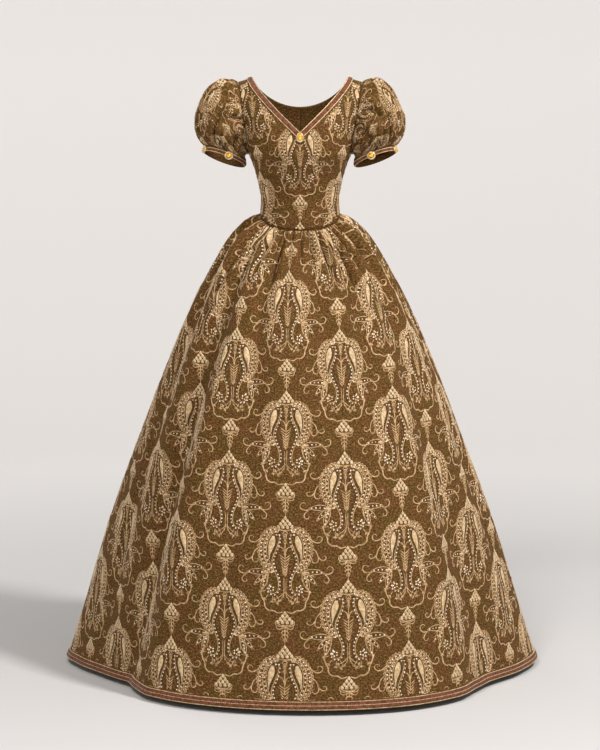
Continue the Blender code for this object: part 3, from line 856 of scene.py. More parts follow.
@dataclass
class Motif(Drawing):
    """The damask's motif: a pair of paisleys between a crown and a palmette, in millimetres."""

    repeat: float = 310.0
    column: float = 143.0
    fine: float = 2.6
    root: Spot = Spot(38, 138)

    def draw(self) -> None:
        """Draw the motif from the crown's tip, which is at the origin, downwards."""
        self.crown()
        self.heart()
        self.border()
        self.tail()
        self.stem()
        self.root_fan()
        self.leaves()
        self.side_scrolls()
        self.frame_line()
        self.palmette()

    def cone(self, top: float, rows: int = 4, size: float = 10.5) -> None:
        """A cone of round petals in rows, each with a bead on it.

        Args:
            top: how far down its tip is.
            rows: how many rows of petals it has.
            size: the distance between the petals of a row.
        """
        for row in range(rows):
            y = top + 5 + 7.2 * row
            for i in range(row % 2, row + 1, 2):
                x = i * size / 2
                petal = flow([Spot(x * 0.97, y + 4), Spot(x, y), Spot(x * 1.02, y - 4)], 2.7)
                # A dark petal a little wider under each cream one: a dark outline that is partly painted
                # shade round the raised satin
                self.stitch(petal, (5.0, 11.4, 11.4, 5.0), Thread.DARK_OUTLINE_AND_SHADE, 0.9)
                self.stitch(petal, (4.2, 9.8, 9.6, 4.4), Thread.CREAM_SATIN, 1.7)
                self.bead(Spot(x * 1.03, y - 3.8), 3.8)
        y = top + 7.2 * rows + 1.5
        rim = flow([Spot(0, y + 4), Spot(size, y + 3), Spot(size * 1.7, y - 2)], 4)
        self.stitch(rim, (3.6, 3.6, 2.0), rise=1.7)

    def crown(self) -> None:
        """The beaded cone that each motif starts from."""
        self.cone(0)
        for y, reach in ((39, 6.0), (45, 4.0)):
            drop = flow([Spot(0, y - 3), Spot(reach, y + 1), Spot(reach * 0.4, y + 5)], 4)
            self.stitch(drop, (3.0, 2.8, 1.4))

    def heart(self) -> None:
        """The paisley's plain heart with its dark edge: dark lines on both sides that are partly painted
        shade round the raised satin.
        """
        line = flow([Spot(27, 48), Spot(29, 60), Spot(33, 76), Spot(36, 92), Spot(36, 104)], 5)
        wide = (6.0, 15.0, 15.0, 10.0, 5.0, 1.2)
        self.stitch(line, wide, Thread.CREAM_SATIN, 1.5)
        half = along(wide, len(line)) / 2
        for side in (-1, 1):
            edge = beside(line, side * (half + 1.5))
            self.stitch(edge, (2.6, 2.6), Thread.DARK_OUTLINE_AND_SHADE, 0.6)

    def border(self) -> None:
        """The lace band over the paisley's back, with its nets, beads and arches."""
        line = flow(
            [
                Spot(15, 36), Spot(28, 35), Spot(40, 44), Spot(48, 60), Spot(51, 80),
                Spot(48, 100), Spot(40, 118), Spot(28, 134),
            ],
            3.0,
        )
        half = along((3.0, 6.5, 8.0, 8.5, 8.5, 8.5, 7.5, 4.0), len(line))
        # A dark line outside the band, on one side only: partly painted shade beside the raised band
        self.stitch(beside(line, half + 1.6)[::2], (2.6, 2.8, 2.6), Thread.DARK_OUTLINE_AND_SHADE, 0.6)
        for side in (-1, 1):
            edge = beside(line, side * half)[::2]
            self.stitch(edge, (self.fine, self.fine))
        swing = np.tile([0.9, 0.0, -0.9, 0.0], len(line))[: len(line)]
        self.stitch(beside(line, swing * half), (self.fine, self.fine), rise=0.8)
        self.stitch(beside(line, half * 0.1)[::2], (self.fine, self.fine), rise=0.7)
        for k, size, start in ((-0.58, 3.9, 0), (0.55, 3.7, 2)):
            self.bead_row(beside(line, half * k)[start:], 10.0, size)
        self.scallops(beside(line, -half - 0.4), 7.5, 4.4)

    def scallops(self, edge: Array, pitch: float, rise: float) -> None:
        """A lace edge of small arches along a line.

        Args:
            edge: the line.
            pitch: the distance between the feet of the arches.
            rise: the arches' height.
        """
        count = int(lengths_along(edge)[-1] / pitch)
        line = spaced(edge, pitch / 4)[: 4 * count + 1]
        lift = np.tile([0.0, 0.75, 1.0, 0.75], count + 1)[: len(line)] * rise
        self.stitch(beside(line, -lift), (self.fine, self.fine), rise=0.9)

    def tail(self) -> None:
        """The beaded band that hooks over the heart, crosses below it and ends in a flower."""
        line = flow(
            [
                Spot(20, 45), Spot(14, 43), Spot(11, 50), Spot(12, 64), Spot(17, 81), Spot(24, 98),
                Spot(26, 112), Spot(21, 130), Spot(14, 146), Spot(11, 163), Spot(14, 181),
                Spot(25, 190), Spot(36, 186), Spot(41, 175), Spot(35, 167),
            ],
            6.0,
        )
        self.bead_row(line, 9.0, 3.9)
        off = along((1.0, 3.5, 3.8, 3.8, 3.6, 3.2, 1.0), len(line))
        self.stitch(beside(line, -off), (1.4, 2.6, 2.6, 1.4))
        # The dark line on one side of the beads is partly painted shade on that side
        self.stitch(beside(line, off), (1.0, 2.2, 2.4, 1.0), Thread.DARK_OUTLINE_AND_SHADE, 0.6)
        for turn in range(5):
            way = math.radians(72 * turn)
            self.bead(Spot(31 + 5.2 * math.cos(way), 175 + 5.2 * math.sin(way)), 4.0)

    def stem(self) -> None:
        """The middle stem with its scrolls and its herringbone spray."""
        self.stitch(flow([Spot(0, 44), Spot(0, 146)], 14), (2.0, 3.0, 1.6))
        for y in (52, 62):
            lozenge = flow([Spot(0, y - 5), Spot(3.8, y), Spot(0, y + 5)], 4)
            self.stitch(lozenge, (1.2, 2.6, 1.2))
        scroll = tendril(Spot(0.8, 93), -84, 36, 225, 2.4, 3.2)
        self.stitch(scroll, (2.8, 2.6, 1.2))
        for i in range(7):
            y, reach = 97 + 7 * i, 12.5 - 1.2 * i
            leaf = flow([Spot(0.4, y + 5), Spot(reach * 0.6, y), Spot(reach, y - 5)], 5)
            self.stitch(leaf, (1.8, 3.6, 1.0))
        line = flow([Spot(2.8, 150), Spot(2.0, 172), Spot(3.4, 196)], 12)
        self.stitch(line, (1.8, 2.2, 1.2))

    def root_fan(self) -> None:
        """The sprays below the tails."""
        for heading, length, turn in ((78, 30, -40), (56, 27, -35)):
            line = tendril(Spot(1.0, 182), heading, length, turn, 1.2, 5)
            self.stitch(line, (1.8, 2.3, 1.2))
            self.trefoil(line[-1], heading + turn)
        for x, y, heading in ((19, 191, 112), (28, 192, 82), (37, 188, 48), (43, 179, 12)):
            line = tendril(Spot(x, y), heading, 12, 14, 1, 5)
            self.stitch(line, (1.8, 2.3, 1.2))
            self.trefoil(line[-1], heading)

    def trefoil(self, at: Array, heading: float) -> None:
        """A small three-lobed leaf.

        Args:
            at: the end of the line that it springs from.
            heading: the way it points, in degrees.
        """
        for lean in (-52, 0, 52):
            lobe = tendril(Spot(*at), heading + lean, 6.5, 0, 1, 3)
            self.stitch(lobe, (1.2, 3.6, 1.0))

    def leaves(self) -> None:
        """Three beaded leaves and their threads, spreading from the paisley's waist."""
        for heading, length, width, bend in ((-14, 52, 15, 24), (26, 44, 10, 30), (58, 46, 14, 26)):
            vein = tendril(self.root, heading, length, bend, 1, 7)
            half = along((0.6, width / 2, width / 2.6, 0.8), len(vein))
            for side in (-1, 1):
                self.stitch(beside(vein, side * half), (1.5, 2.8, 1.5))
            # A dark vein between the leaf's raised edges, partly painted shade down its hollow middle
            self.stitch(vein[1:-1], (1.0, width / 3.2, 1.0), Thread.DARK_OUTLINE_AND_SHADE, 0.5)
            self.bead_row(vein[len(vein) // 3 : -1], 9, 3.8)
        for heading in (4, 41, 72):
            thread = tendril(self.root, heading, 32, 26, 1, 8)
            self.stitch(thread, (1.8, 2.2, 1.0))
        knot = flow([self.root, Spot(46, 135), Spot(55, 138)], 5)
        self.stitch(knot, (4.0, 6.4, 1.2), Thread.CREAM_SATIN, 1.5)
        for start, heading, length, turn in (
            (Spot(82, 136), 24, 54, -285),
            (Spot(90, 141), 34, 38, 270),
        ):
            scroll = tendril(start, heading, length, turn, 1.9, 3.6)
            self.stitch(scroll, (3.2, 3.4, 1.6))

    def side_scrolls(self) -> None:
        """Scrolls that spring from the paisley's back."""
        line = tendril(Spot(54, 50), 50, 60, -330, 2.2, 3.8)
        self.stitch(line, (3.0, 3.8, 1.6))
        stalk = flow([Spot(62, 76), Spot(71, 86), Spot(75, 98)], 7)
        self.stitch(stalk, (1.8, 3.2, 2.4))
        for heading, length, turn, tight in ((78, 34, 255, 1.7), (58, 36, -285, 1.9)):
            scroll = tendril(Spot(75, 97), heading, length, turn, tight, 3.4)
            self.stitch(scroll, (3.2, 3.4, 1.6))

    def frame_line(self) -> None:
        """The wavy line that closes the motif round the tails."""
        line = flow(
            [
                Spot(43, 143), Spot(50, 156), Spot(49, 168), Spot(55, 182), Spot(52, 197),
                Spot(47, 206), Spot(45, 219), Spot(36, 227), Spot(26, 227), Spot(16, 233),
                Spot(4, 230),
            ],
            5.0,
        )
        self.stitch(line, (2.8, 4.0, 3.4), rise=1.1)

    def palmette(self) -> None:
        """The palmette, its volutes and the bell drop that leads to the next crown."""
        self.cone(229)
        for heading, length, turn in ((20, 40, -260), (58, 30, -215)):
            volute = tendril(Spot(2, 263), heading, length, turn, 1.8, 3.4)
            self.stitch(volute, (2.8, 2.8, 1.4))
        for y, reach in ((268, 6.5), (276, 8.0), (285, 7.0), (294, 4.5)):
            bell = flow([Spot(0, y - 2), Spot(reach, y + 3), Spot(reach * 0.6, y + 8)], 5)
            self.stitch(bell, (3.6, 3.4, 1.0))
        self.stitch(flow([Spot(0, 262), Spot(0, 309)], 14), (2.8, 3.4, 1.6))


@dataclass(frozen=True)
class Layout:
    """Where the motif's columns lie on a piece of flat cloth, in metres.

    Every other column starts half a repeat lower.
    """

    first_column: float
    crown_down: float
    scale: float = 1.0
    swapped: bool = False


@dataclass
class Damask:
    """The damask design worked on the cloth in thread and beads."""

    motif: Motif = field(default_factory=Motif)
    bead_sides: int = 6
    bead_height: float = 0.546
    bead_sink: float = 0.13
    bead_base: float = 0.6

    def __post_init__(self) -> None:
        """Draw the motif once."""
        self.motif.draw()
        self.points = np.concatenate(self.motif.points) * MM
        self.faces = np.concatenate(self.motif.faces)
        self.threads = np.concatenate(self.motif.threads)
        self.beads = np.array(self.motif.beads) * MM
        log.info("motif: %d faces, %d beads", len(self.faces), len(self.beads))

    def places(self, cloth: Cloth, layout: Layout) -> list[tuple[float, float]]:
        """The crowns' places on a piece of cloth, with a margin all round it.

        Args:
            cloth: the cloth.
            layout: where the columns lie on it.

        Returns:
            How far across and down each crown lies.
        """
        column = self.motif.column * MM * layout.scale
        repeat = self.motif.repeat * MM * layout.scale
        low = int((cloth.across.min() - layout.first_column) / column) - 2
        high = int((cloth.across.max() - layout.first_column) / column) + 2
        found = []
        for k in range(low, high + 1):
            lowered = (k % 2 == 1) != layout.swapped
            start = layout.crown_down + (repeat / 2 if lowered else 0)
            first = int((cloth.down[0] - start) / repeat) - 1
            last = int((cloth.down[-1] - start) / repeat) + 1
            for m in range(first - 1, last + 1):
                found.append((layout.first_column + k * column, start + m * repeat))
        return found

    def work(
        self,
        name: str,
        cloth: Cloth,
        layout: Layout,
        finishes: Finishes,
        halves: bool = False,
        clearance: float = 0.0,
    ) -> list[Piece]:
        """Embroider a piece of cloth.

        Args:
            name: the start of the new pieces' names.
            cloth: the cloth.
            layout: where the motifs lie on it.
            finishes: the gown's finishes.
            halves: whether the thread is split into a left and a right piece.
            clearance: how far inside the cloth's edges it stays, where they are known.

        Returns:
            The thread pieces and the bead piece.
        """
        places = self.places(cloth, layout)
        middle = layout.first_column
        groups = {"_damask": places}
        if halves:
            groups = {
                "_damask_right": [p for p in places if p[0] < middle],
                "_damask_left": [p for p in places if p[0] >= middle],
            }
        made = []
        for ending, group in groups.items():
            shape = self.points, self.faces
            points, faces, keep = self._stamp(cloth, layout, group, shape, clearance)
            mesh = mesh_of(name + ending, points, faces)
            threads = np.tile(self.threads, len(group))[keep]
            mesh.polygons.foreach_set("material_index", threads.astype(np.int32))
            made.append(place_piece(name + ending, mesh, finishes.threads))
        points, faces, _ = self._stamp(cloth, layout, places, self._bead_shapes(), clearance)
        mesh = mesh_of(name + "_beads", points, faces)
        made.append(place_piece(name + "_beads", mesh, [finishes.beads]))
        return made

    def _bead_shapes(self) -> tuple[Array, Array]:
        """All the motif's beads as low domes: their points and triangles.

        Returns:
            The points and the triangles.
        """
        sides = self.bead_sides
        way = 2 * np.pi * np.arange(sides) / sides
        ring = vec(np.cos(way), np.sin(way), -self.bead_sink)
        dome = np.vstack([ring, [0, 0, self.bead_height]])
        faces = np.array([[i, (i + 1) % sides, sides] for i in range(sides)])
        size = self.beads[:, 2:3, None] / 2
        spots = vec(self.beads[:, 0], self.beads[:, 1], self.bead_base * MM)
        points = spots[:, None] + dome * size
        offsets = np.arange(len(self.beads))[:, None, None] * len(dome)
        return points.reshape(-1, 3), (faces + offsets).reshape(-1, 3)

    def _stamp(
        self,
        cloth: Cloth,
        layout: Layout,
        places: Sequence[tuple[float, float]],
        shape: tuple[Array, Array],
        clearance: float,
    ) -> tuple[Array, Array, Array]:
        """Lay copies of a flat shape on a piece of cloth, cut off at its edges.

        Args:
            cloth: the cloth.
            layout: its layout, for the scale.
            places: where the copies go.
            shape: the shape's points, in metres, and its faces.
            clearance: how far inside the cloth's edges it stays.

        Returns:
            The points and faces of what is left, and which of all the faces those are.
        """
        points, faces = shape
        at = np.array(places)
        spread = points[None, :, :2] * layout.scale + at[:, None]
        height = np.tile(points[:, 2], len(at))
        flat = spread.reshape(-1, 2)
        near = self._near(cloth, flat)
        placed = np.zeros((len(flat), 3))
        inside = np.zeros(len(flat), bool)
        placed[near], inside[near] = cloth.lay(*flat[near].T, height[near], clearance)
        offsets = np.arange(len(at))[:, None, None] * len(points)
        every = (faces + offsets).reshape(-1, faces.shape[1])
        keep = inside[every].all(axis=1)
        kept = every[keep]
        used, renumbered = np.unique(kept, return_inverse=True)
        return placed[used], renumbered.reshape(kept.shape), keep

    def _near(self, cloth: Cloth, flat: Array) -> Array:
        """Which points of the flat design could lie on the cloth at all."""
        over = (flat[:, 0] >= cloth.across.min()) & (flat[:, 0] <= cloth.across.max())
        return over & (flat[:, 1] >= cloth.down[0]) & (flat[:, 1] <= cloth.down[-1])


# Places of a Mix node's colour sockets, and the length of a Wave node's wave at scale 1
MIX_A, MIX_B, MIX_RESULT = 6, 7, 2
WAVE_PERIOD = 2 * math.pi / 20


def linear(shade: str) -> tuple[float, float, float, float]:
    """A linear colour from an sRGB hex value."""
    parts = [int(shade[i : i + 2], 16) / 255 for i in (0, 2, 4)]
    return (*(p / 12.92 if p <= 0.04045 else ((p + 0.055) / 1.055) ** 2.4 for p in parts), 1.0)


def add_node(material: bpy.types.ID, kind: str, links: dict | None = None, **settings) -> Node:
    """Add a node with its settings and links.

    Args:
        material: what its tree belongs to.
        kind: the node's type.
        links: for each of its inputs, a value or the socket that feeds it.
        settings: its own properties.

    Returns:
        The node.
    """
    made = material.node_tree.nodes.new(kind)
    for key, value in settings.items():
        setattr(made, key, value)
    feed(material, made, links or {})
    return made


def new_material(name: str) -> tuple[Material, Node]:
    """An empty material and its shader."""
    material = bpy.data.materials.new(name)
    material.use_nodes = True
    return material, material.node_tree.nodes["Principled BSDF"]


def feed(material: bpy.types.ID, node: Node, links: dict) -> None:
    """Set some inputs of a node, each to a value or to the socket that feeds it.

    Args:
        material: what its tree belongs to.
        node: the node.
        links: for each of its inputs, a value or a socket.
    """
    for key, source in links.items():
        if isinstance(source, Socket):
            material.node_tree.links.new(source, node.inputs[key])
        else:
            node.inputs[key].default_value = source


class Mottle(NamedTuple):
    """Spots of a real size in metres, and the noise levels where they begin and are full."""

    size: float
    begin: float
    full: float

    def share(self, material: Material, where: Socket) -> Socket:
        """How much of the spots there is at each place, from 0 to 1.

        Args:
            material: the material that they are in.
            where: the coordinates, in metres.

        Returns:
            The socket of the share.
        """
        links = {"Vector": where, "Scale": 1 / self.size, "Detail": 2.0}
        noise = add_node(material, "ShaderNodeTexNoise", links)
        links = {"Value": noise.outputs["Fac"], "From Min": self.begin, "From Max": self.full}
        return add_node(material, "ShaderNodeMapRange", links).outputs["Result"]


def two_tones(name: str, spots: Mottle, ground: str, spot: str) -> tuple[Material, Node]:
    """A material of one colour with spots of another.

    Args:
        name: its name.
        spots: the spots.
        ground: the colour between them.
        spot: the colour of the spots.

    Returns:
        The material and its shader.
    """
    material, shader = new_material(name)
    place = add_node(material, "ShaderNodeTexCoord").outputs["Object"]
    shades = {0: spots.share(material, place), MIX_A: linear(ground), MIX_B: linear(spot)}
    colour = add_node(material, "ShaderNodeMix", shades, data_type="RGBA")
    feed(material, shader, {"Base Color": colour.outputs[MIX_RESULT]})
    return material, shader


@dataclass(frozen=True)
class Brocade:
    """Jacquard brocade: dyed wool wefts over a dark warp, brushed to a soft nap.

    Spun yarns of several browns give it flecks of 2 to 5 mm and slow patches of colour. The nap
    makes it lighter where it turns away from the eye.
    """

    name: str = "wool_brocade"
    russet: str = "543117"
    olive: str = "48340f"
    gold_weft: str = "7c5c30"
    dark_warp: str = "29180a"
    patch: Mottle = Mottle(0.045, 0.36, 0.64)
    fleck: Mottle = Mottle(0.0042, 0.46, 0.66)
    slub: Mottle = Mottle(0.0055, 0.52, 0.70)
    slub_stretch: float = 1.5
    # The real weave is near 0.5 mm; it is drawn coarser, so that it shows at all
    weave: float = 0.0022
    relief: float = 0.0005
    roughness: float = 0.82
    nap: str = "c9a468"

    def make(self) -> Material:
        """Make the material; its coordinates are the flat cloth's, in metres."""
        material, shader = new_material(self.name)
        flat = add_node(material, "ShaderNodeUVMap", uv_map="cloth").outputs["UV"]
        links = {"Vector": flat, "Scale": (1, self.slub_stretch, 1)}
        stretched = add_node(material, "ShaderNodeMapping", links).outputs["Vector"]
        flecks = self.fleck.share(material, flat)
        ground = linear(self.russet)
        for share, shade in (
            (self.patch.share(material, flat), self.olive),
            (flecks, self.gold_weft),
            (self.slub.share(material, stretched), self.dark_warp),
        ):
            shades = {0: share, MIX_A: ground, MIX_B: linear(shade)}
            blend = add_node(material, "ShaderNodeMix", shades, data_type="RGBA")
            ground = blend.outputs[MIX_RESULT]
        links = {"Vector": flat, "Scale": WAVE_PERIOD / self.weave, "Distortion": 1.5, "Detail": 1.0}
        weave = add_node(material, "ShaderNodeTexWave", links, bands_direction="DIAGONAL")
        links = {0: weave.outputs["Fac"], 1: 0.5, 2: flecks}
        height = add_node(material, "ShaderNodeMath", links, operation="MULTIPLY_ADD").outputs[0]
        links = {"Height": height, "Distance": self.relief, "Strength": 0.8}
        bump = add_node(material, "ShaderNodeBump", links)
        feed(material, shader, {"Base Color": ground, "Normal": bump.outputs["Normal"]})
        shader.inputs["Roughness"].default_value = self.roughness
        shader.inputs["Sheen Weight"].default_value = 0.08
        shader.inputs["Sheen Roughness"].default_value = 0.5
        shader.inputs["Sheen Tint"].default_value = linear(self.nap)
        shader.inputs["Specular IOR Level"].default_value = 0.12
        return material


@dataclass(frozen=True)
class Yarn:
    """Corded yarn or braid of dyed silk and wool.

    Twisted plies catch the light in short dashes, so its colour varies along it, and worn places
    are a little lighter.
    """

    name: str
    light: str
    dark: str
    roughness: float = 0.55
    sheen: float = 0.2
    shade: Mottle = Mottle(0.006, 0.38, 0.62)
    # Plies of 0.4 mm are drawn at 1.1 mm, so that they show
    ply: Mottle = Mottle(0.0011, 0.3, 0.7)
    relief: float = 0.0003

    def make(self) -> Material:
        """Make the material; its coordinates are the gown's, in metres."""
        material, shader = two_tones(self.name, self.shade, self.dark, self.light)
        place = add_node(material, "ShaderNodeTexCoord").outputs["Object"]
        plies = self.ply.share(material, place)
        links = {"Height": plies, "Distance": self.relief, "Strength": 0.7}
        bump = add_node(material, "ShaderNodeBump", links)
        feed(material, shader, {"Normal": bump.outputs["Normal"]})
        shader.inputs["Roughness"].default_value = self.roughness
        shader.inputs["Sheen Weight"].default_value = self.sheen
        shader.inputs["Specular IOR Level"].default_value = 0.25
        return material


@dataclass(frozen=True)
class PearlGlass:
    """Small pressed glass beads with a pearl coating: milky, with a sharp small highlight."""

    name: str = "pearl_glass"
    bright: str = "f4e2c6"
    warm: str = "cda97a"
    tone: Mottle = Mottle(0.012, 0.4, 0.6)
    roughness: float = 0.22
    index: float = 1.52

    def make(self) -> Material:
        """Make the material; neighbouring beads differ a little in tone."""
        material, shader = two_tones(self.name, self.tone, self.warm, self.bright)
        shader.inputs["Roughness"].default_value = self.roughness
        shader.inputs["IOR"].default_value = self.index
        shader.inputs["Coat Weight"].default_value = 0.2
        return material


@dataclass(frozen=True)
class Gilt:
    """Stamped brass, gilded and polished: bright, with small worn spots that are dull and brown."""

    name: str = "gilded_brass"
    bright: str = "f0d49a"
    worn: str = "a8834c"
    wear: Mottle = Mottle(0.003, 0.35, 0.6)
    roughness: float = 0.28

    def make(self) -> Material:
        """Make the material."""
        material, shader = two_tones(self.name, self.wear, self.worn, self.bright)
        shader.inputs["Metallic"].default_value = 0.85
        shader.inputs["Roughness"].default_value = self.roughness
        return material


@dataclass(frozen=True)
class AmberGlass:
    """Cut yellow glass with foil behind it: clear and glossy, each facet its own brightness."""

    name: str = "amber_glass"
    light: str = "f4c624"
    deep: str = "b27c0a"
    cloud: Mottle = Mottle(0.005, 0.4, 0.6)
    roughness: float = 0.06
    index: float = 1.6

    def make(self) -> Material:
        """Make the material."""
        material, shader = two_tones(self.name, self.cloud, self.deep, self.light)
        shader.inputs["Roughness"].default_value = self.roughness
        shader.inputs["IOR"].default_value = self.index
        shader.inputs["Coat Weight"].default_value = 1.0
        shader.inputs["Coat Roughness"].default_value = 0.02
        return material


class Finishes:
    """Every finish of the gown, each made once."""

    def __init__(self) -> None:
        """Make the materials."""
        self.brocade = Brocade().make()
        self.threads = [
            Yarn("silk_cord", light="c9a57a", dark="94754b").make(),
            Yarn("silk_satin_stitch", light="d2b48a", dark="a98a5e", roughness=0.42).make(),
            # Dark silk for the outlines beside and under the raised work; its darkness is partly painted
            # shade at their edges
            Yarn("dark_silk_and_painted_shade", light="3a2512", dark="1c1007", sheen=0.1).make(),
        ]
        self.beads = PearlGlass().make()
        self.plait = [
            Yarn("madder_wool_braid", light="82492f", dark="4c2a19", roughness=0.7).make(),
            Yarn("tan_piping", light="ecd09c", dark="bc9660", roughness=0.6).make(),
            # Dark backing under the strands: its colour is painted shade in the gaps between them
            Yarn("braid_backing_painted_shade", light="3b2213", dark="1f1108", sheen=0.1).make(),
        ]
        self.gilt = Gilt().make()
        self.amber = AmberGlass().make()


@dataclass(frozen=True)
class SkirtForm:
    """The skirt's inner face round its whole circle."""

    hem_drop: float = 1.5
    hem_radius: float = 0.612
    waist_radius: float = 0.100
    gathers: int = 28
    broad_fold_phase: float = 1.3
    valley_sharpness: float = 2.2
    front_calm: float = 0.45
    front_calm_spread: float = math.radians(26)
    shifts: tuple[Wave, ...] = (Wave(0.035, 6, 0.0), Wave(0.022, 8, 0.0))
    changes: tuple[Wave, ...] = (Wave(0.25, 3, 1.0), Wave(0.18, 7, 2.2))
    core_width: float = 0.36
    crease_fullness: float = 0.7
    pattern_top: float = 0.235
    pattern_bottom: float = 0.585

    def angle(self, share: Array) -> Array:
        """Angles round from the centre front for shares of the circle, -0.5 to 0.5."""
        turn = 2 * np.pi * share
        return turn + waves(self.shifts, turn)

    def gather(self, share: Array, down: Array) -> Array:
        """How far the gathers push the cloth out, at shares round and down.

        Args:
            share: how far round.
            down: how far down.

        Returns:
            The distances.
        """
        around = 2 * np.pi * share
        calm = 1 - self.front_calm * np.exp(-((around / self.front_calm_spread) ** 2))
        beat = self.gathers * around
        crest = 1 - 2 * ((1 - np.cos(beat)) / 2) ** self.valley_sharpness
        fine = smooth(SKIRT_ROWS, "fine", down) * crest
        broad = smooth(SKIRT_ROWS, "broad", down) * np.cos(beat / 2 + self.broad_fold_phase)
        return (1 + waves(self.changes, around)) * calm * (fine + broad)

    def radius(self, down: Array) -> Array:
        """The plain cone's radius at shares down."""
        return mix(self.waist_radius, self.hem_radius, smooth(SKIRT_ROWS, "spread", down))

    def pressed(self, angle: Array, down: Array) -> Array:
        """How far the listed creases move the cloth out, at angles round and shares down.

        Args:
            angle: the angles.
            down: the shares.

        Returns:
            The distances.
        """
        moved = np.zeros(np.broadcast(angle, down).shape)
        for crease in SKIRT_CREASES:
            t = np.clip((down - crease.top) / (crease.bottom - crease.top), 0, 1)
            centre = np.radians(crease.place + crease.drift * t)
            apart = np.remainder(angle - centre + np.pi, 2 * np.pi) - np.pi
            reach = apart * self.radius(down) / crease.width
            depth = np.sin(np.pi * t**crease.crowding) ** self.crease_fullness
            profile = mix(np.exp(-(reach**2)), np.exp(-((reach / self.core_width) ** 2)), crease.core)
            moved = moved + crease.rise * profile * depth
        return moved

    def point(self, share: Array, down: Array) -> Array:
        """Points of the skirt.

        Args:
            share: how far round from the centre front, -0.5 to 0.5.
            down: how far down from the waist seam to the hem, 0 to 1.

        Returns:
            The points.
        """
        share, down = np.broadcast_arrays(share, down)
        angle = self.angle(share)
        outwards = vec(np.sin(angle), -np.cos(angle), 0)
        top = TORSO.waist_ring(angle)
        degrees = np.remainder(np.degrees(angle) + 180, 360) - 180
        fluted = smooth(HEM_ROWS, "radius", degrees)
        radius = mix(self.hem_radius, fluted, smooth(SKIRT_ROWS, "flute", down))
        spread = smooth(SKIRT_ROWS, "spread", down)[..., None]
        place = mix(top, outwards * radius[..., None], spread)
        out = self.gather(share, down) + self.pressed(angle, down)
        place = place + outwards * out[..., None]
        place[..., 2] = mix(top[..., 2], -self.hem_drop, down)
        return place

    def slant(self, down: Array) -> Array:
        """Lengths walked down the plain cone at shares down."""
        steps = np.linspace(0, 1, 400)
        profile = np.stack([self.radius(steps), steps * (self.hem_drop - TORSO.waist_drop_side)], axis=1)
        return np.interp(down, steps, lengths_along(profile))


SKIRT_FORM = SkirtForm()

SKIRT_CREASES = (
    Crease(-45, 0.10, 1.02, -7, 0.036, -0.030),
    Crease(-34, 0.08, 1.02, -4, 0.032, 0.013),
    Crease(50, 0.12, 1.02, 5, 0.040, -0.012),
    Crease(41, 0.15, 1.02, 2, 0.030, 0.007),
    Crease(-16, 0.16, 0.95, -5, 0.026, -0.0060),
    Crease(11, 0.14, 0.80, 5, 0.024, -0.0050),
    Crease(27, 0.30, 1.02, 3, 0.022, -0.0045),
    Crease(-68, 0.10, 0.95, -3, 0.028, -0.009),
    Crease(74, 0.10, 0.95, 3, 0.028, -0.009),
    Crease(96, 0.14, 1.02, 4, 0.030, 0.007),
    Crease(118, 0.10, 1.02, -5, 0.032, -0.012),
    Crease(146, 0.12, 0.98, 3, 0.028, 0.007),
    Crease(168, 0.08, 1.02, 4, 0.030, -0.011),
    Crease(-98, 0.10, 1.02, -3, 0.034, -0.011),
    Crease(-124, 0.12, 0.98, 4, 0.030, 0.008),
    Crease(-150, 0.10, 1.02, -4, 0.032, -0.012),
    Crease(-80, 0.003, 0.16, -4, 0.0099, -0.029, 0.55, 0.20),
    Crease(-68, 0.00, 0.22, -4, 0.014, 0.006, 0.55),
    Crease(-56, 0.003, 0.22, -3, 0.0106, -0.035, 0.55, 0.20),
    Crease(-41, 0.003, 0.15, -5, 0.0099, -0.033, 0.55, 0.20),
    Crease(-29, 0.003, 0.11, -3, 0.0084, -0.025, 0.55, 0.20),
    Crease(-16, 0.003, 0.15, -3, 0.0091, -0.027, 0.55, 0.20),
    Crease(1, 0.003, 0.09, 0, 0.0076, -0.019, 0.55, 0.20),
    Crease(19, 0.003, 0.12, 2, 0.0084, -0.025, 0.55, 0.20),
    Crease(35, 0.003, 0.19, 3, 0.0099, -0.031, 0.55, 0.20),
    Crease(52, 0.003, 0.26, 4, 0.0114, -0.039, 0.55, 0.20),
    Crease(64, 0.00, 0.24, 4, 0.014, 0.006, 0.55),
    Crease(75, 0.003, 0.22, 3, 0.0106, -0.035, 0.55, 0.20),
    Crease(-48, 0.003, 0.10, -4, 0.0076, -0.023, 0.55, 0.20),
    Crease(-22, 0.003, 0.08, -2, 0.0068, -0.017, 0.55, 0.20),
    Crease(-8, 0.003, 0.07, -2, 0.0068, -0.017, 0.55, 0.20),
    Crease(10, 0.003, 0.08, 1, 0.0068, -0.018, 0.55, 0.20),
    Crease(27, 0.003, 0.10, 2, 0.0076, -0.021, 0.55, 0.20),
    Crease(43, 0.003, 0.13, 4, 0.0084, -0.026, 0.55, 0.20),
    Crease(60, 0.003, 0.15, 4, 0.0084, -0.026, 0.55, 0.20),
    Crease(-72, 0.003, 0.12, -3, 0.0084, -0.023, 0.55, 0.20),
    Crease(104, 0.00, 0.27, 4, 0.0106, -0.033, 0.55, 0.20),
    Crease(118, 0.00, 0.22, 3, 0.0084, -0.023, 0.55, 0.20),
    Crease(131, 0.00, 0.25, 3, 0.0106, -0.029, 0.55, 0.20),
    Crease(147, 0.00, 0.19, 2, 0.0084, -0.021, 0.55, 0.20),
    Crease(160, 0.00, 0.30, -2, 0.0099, -0.033, 0.55, 0.20),
    Crease(178, 0.00, 0.20, 2, 0.0084, -0.021, 0.55, 0.20),
    Crease(-108, 0.00, 0.26, -3, 0.0106, -0.033, 0.55, 0.20),
    Crease(-124, 0.00, 0.20, -2, 0.0084, -0.021, 0.55, 0.20),
    Crease(-139, 0.00, 0.30, 3, 0.0106, -0.031, 0.55, 0.20),
    Crease(-153, 0.00, 0.21, 2, 0.0084, -0.021, 0.55, 0.20),
    Crease(-165, 0.00, 0.24, -2, 0.0099, -0.029, 0.55, 0.20),
)


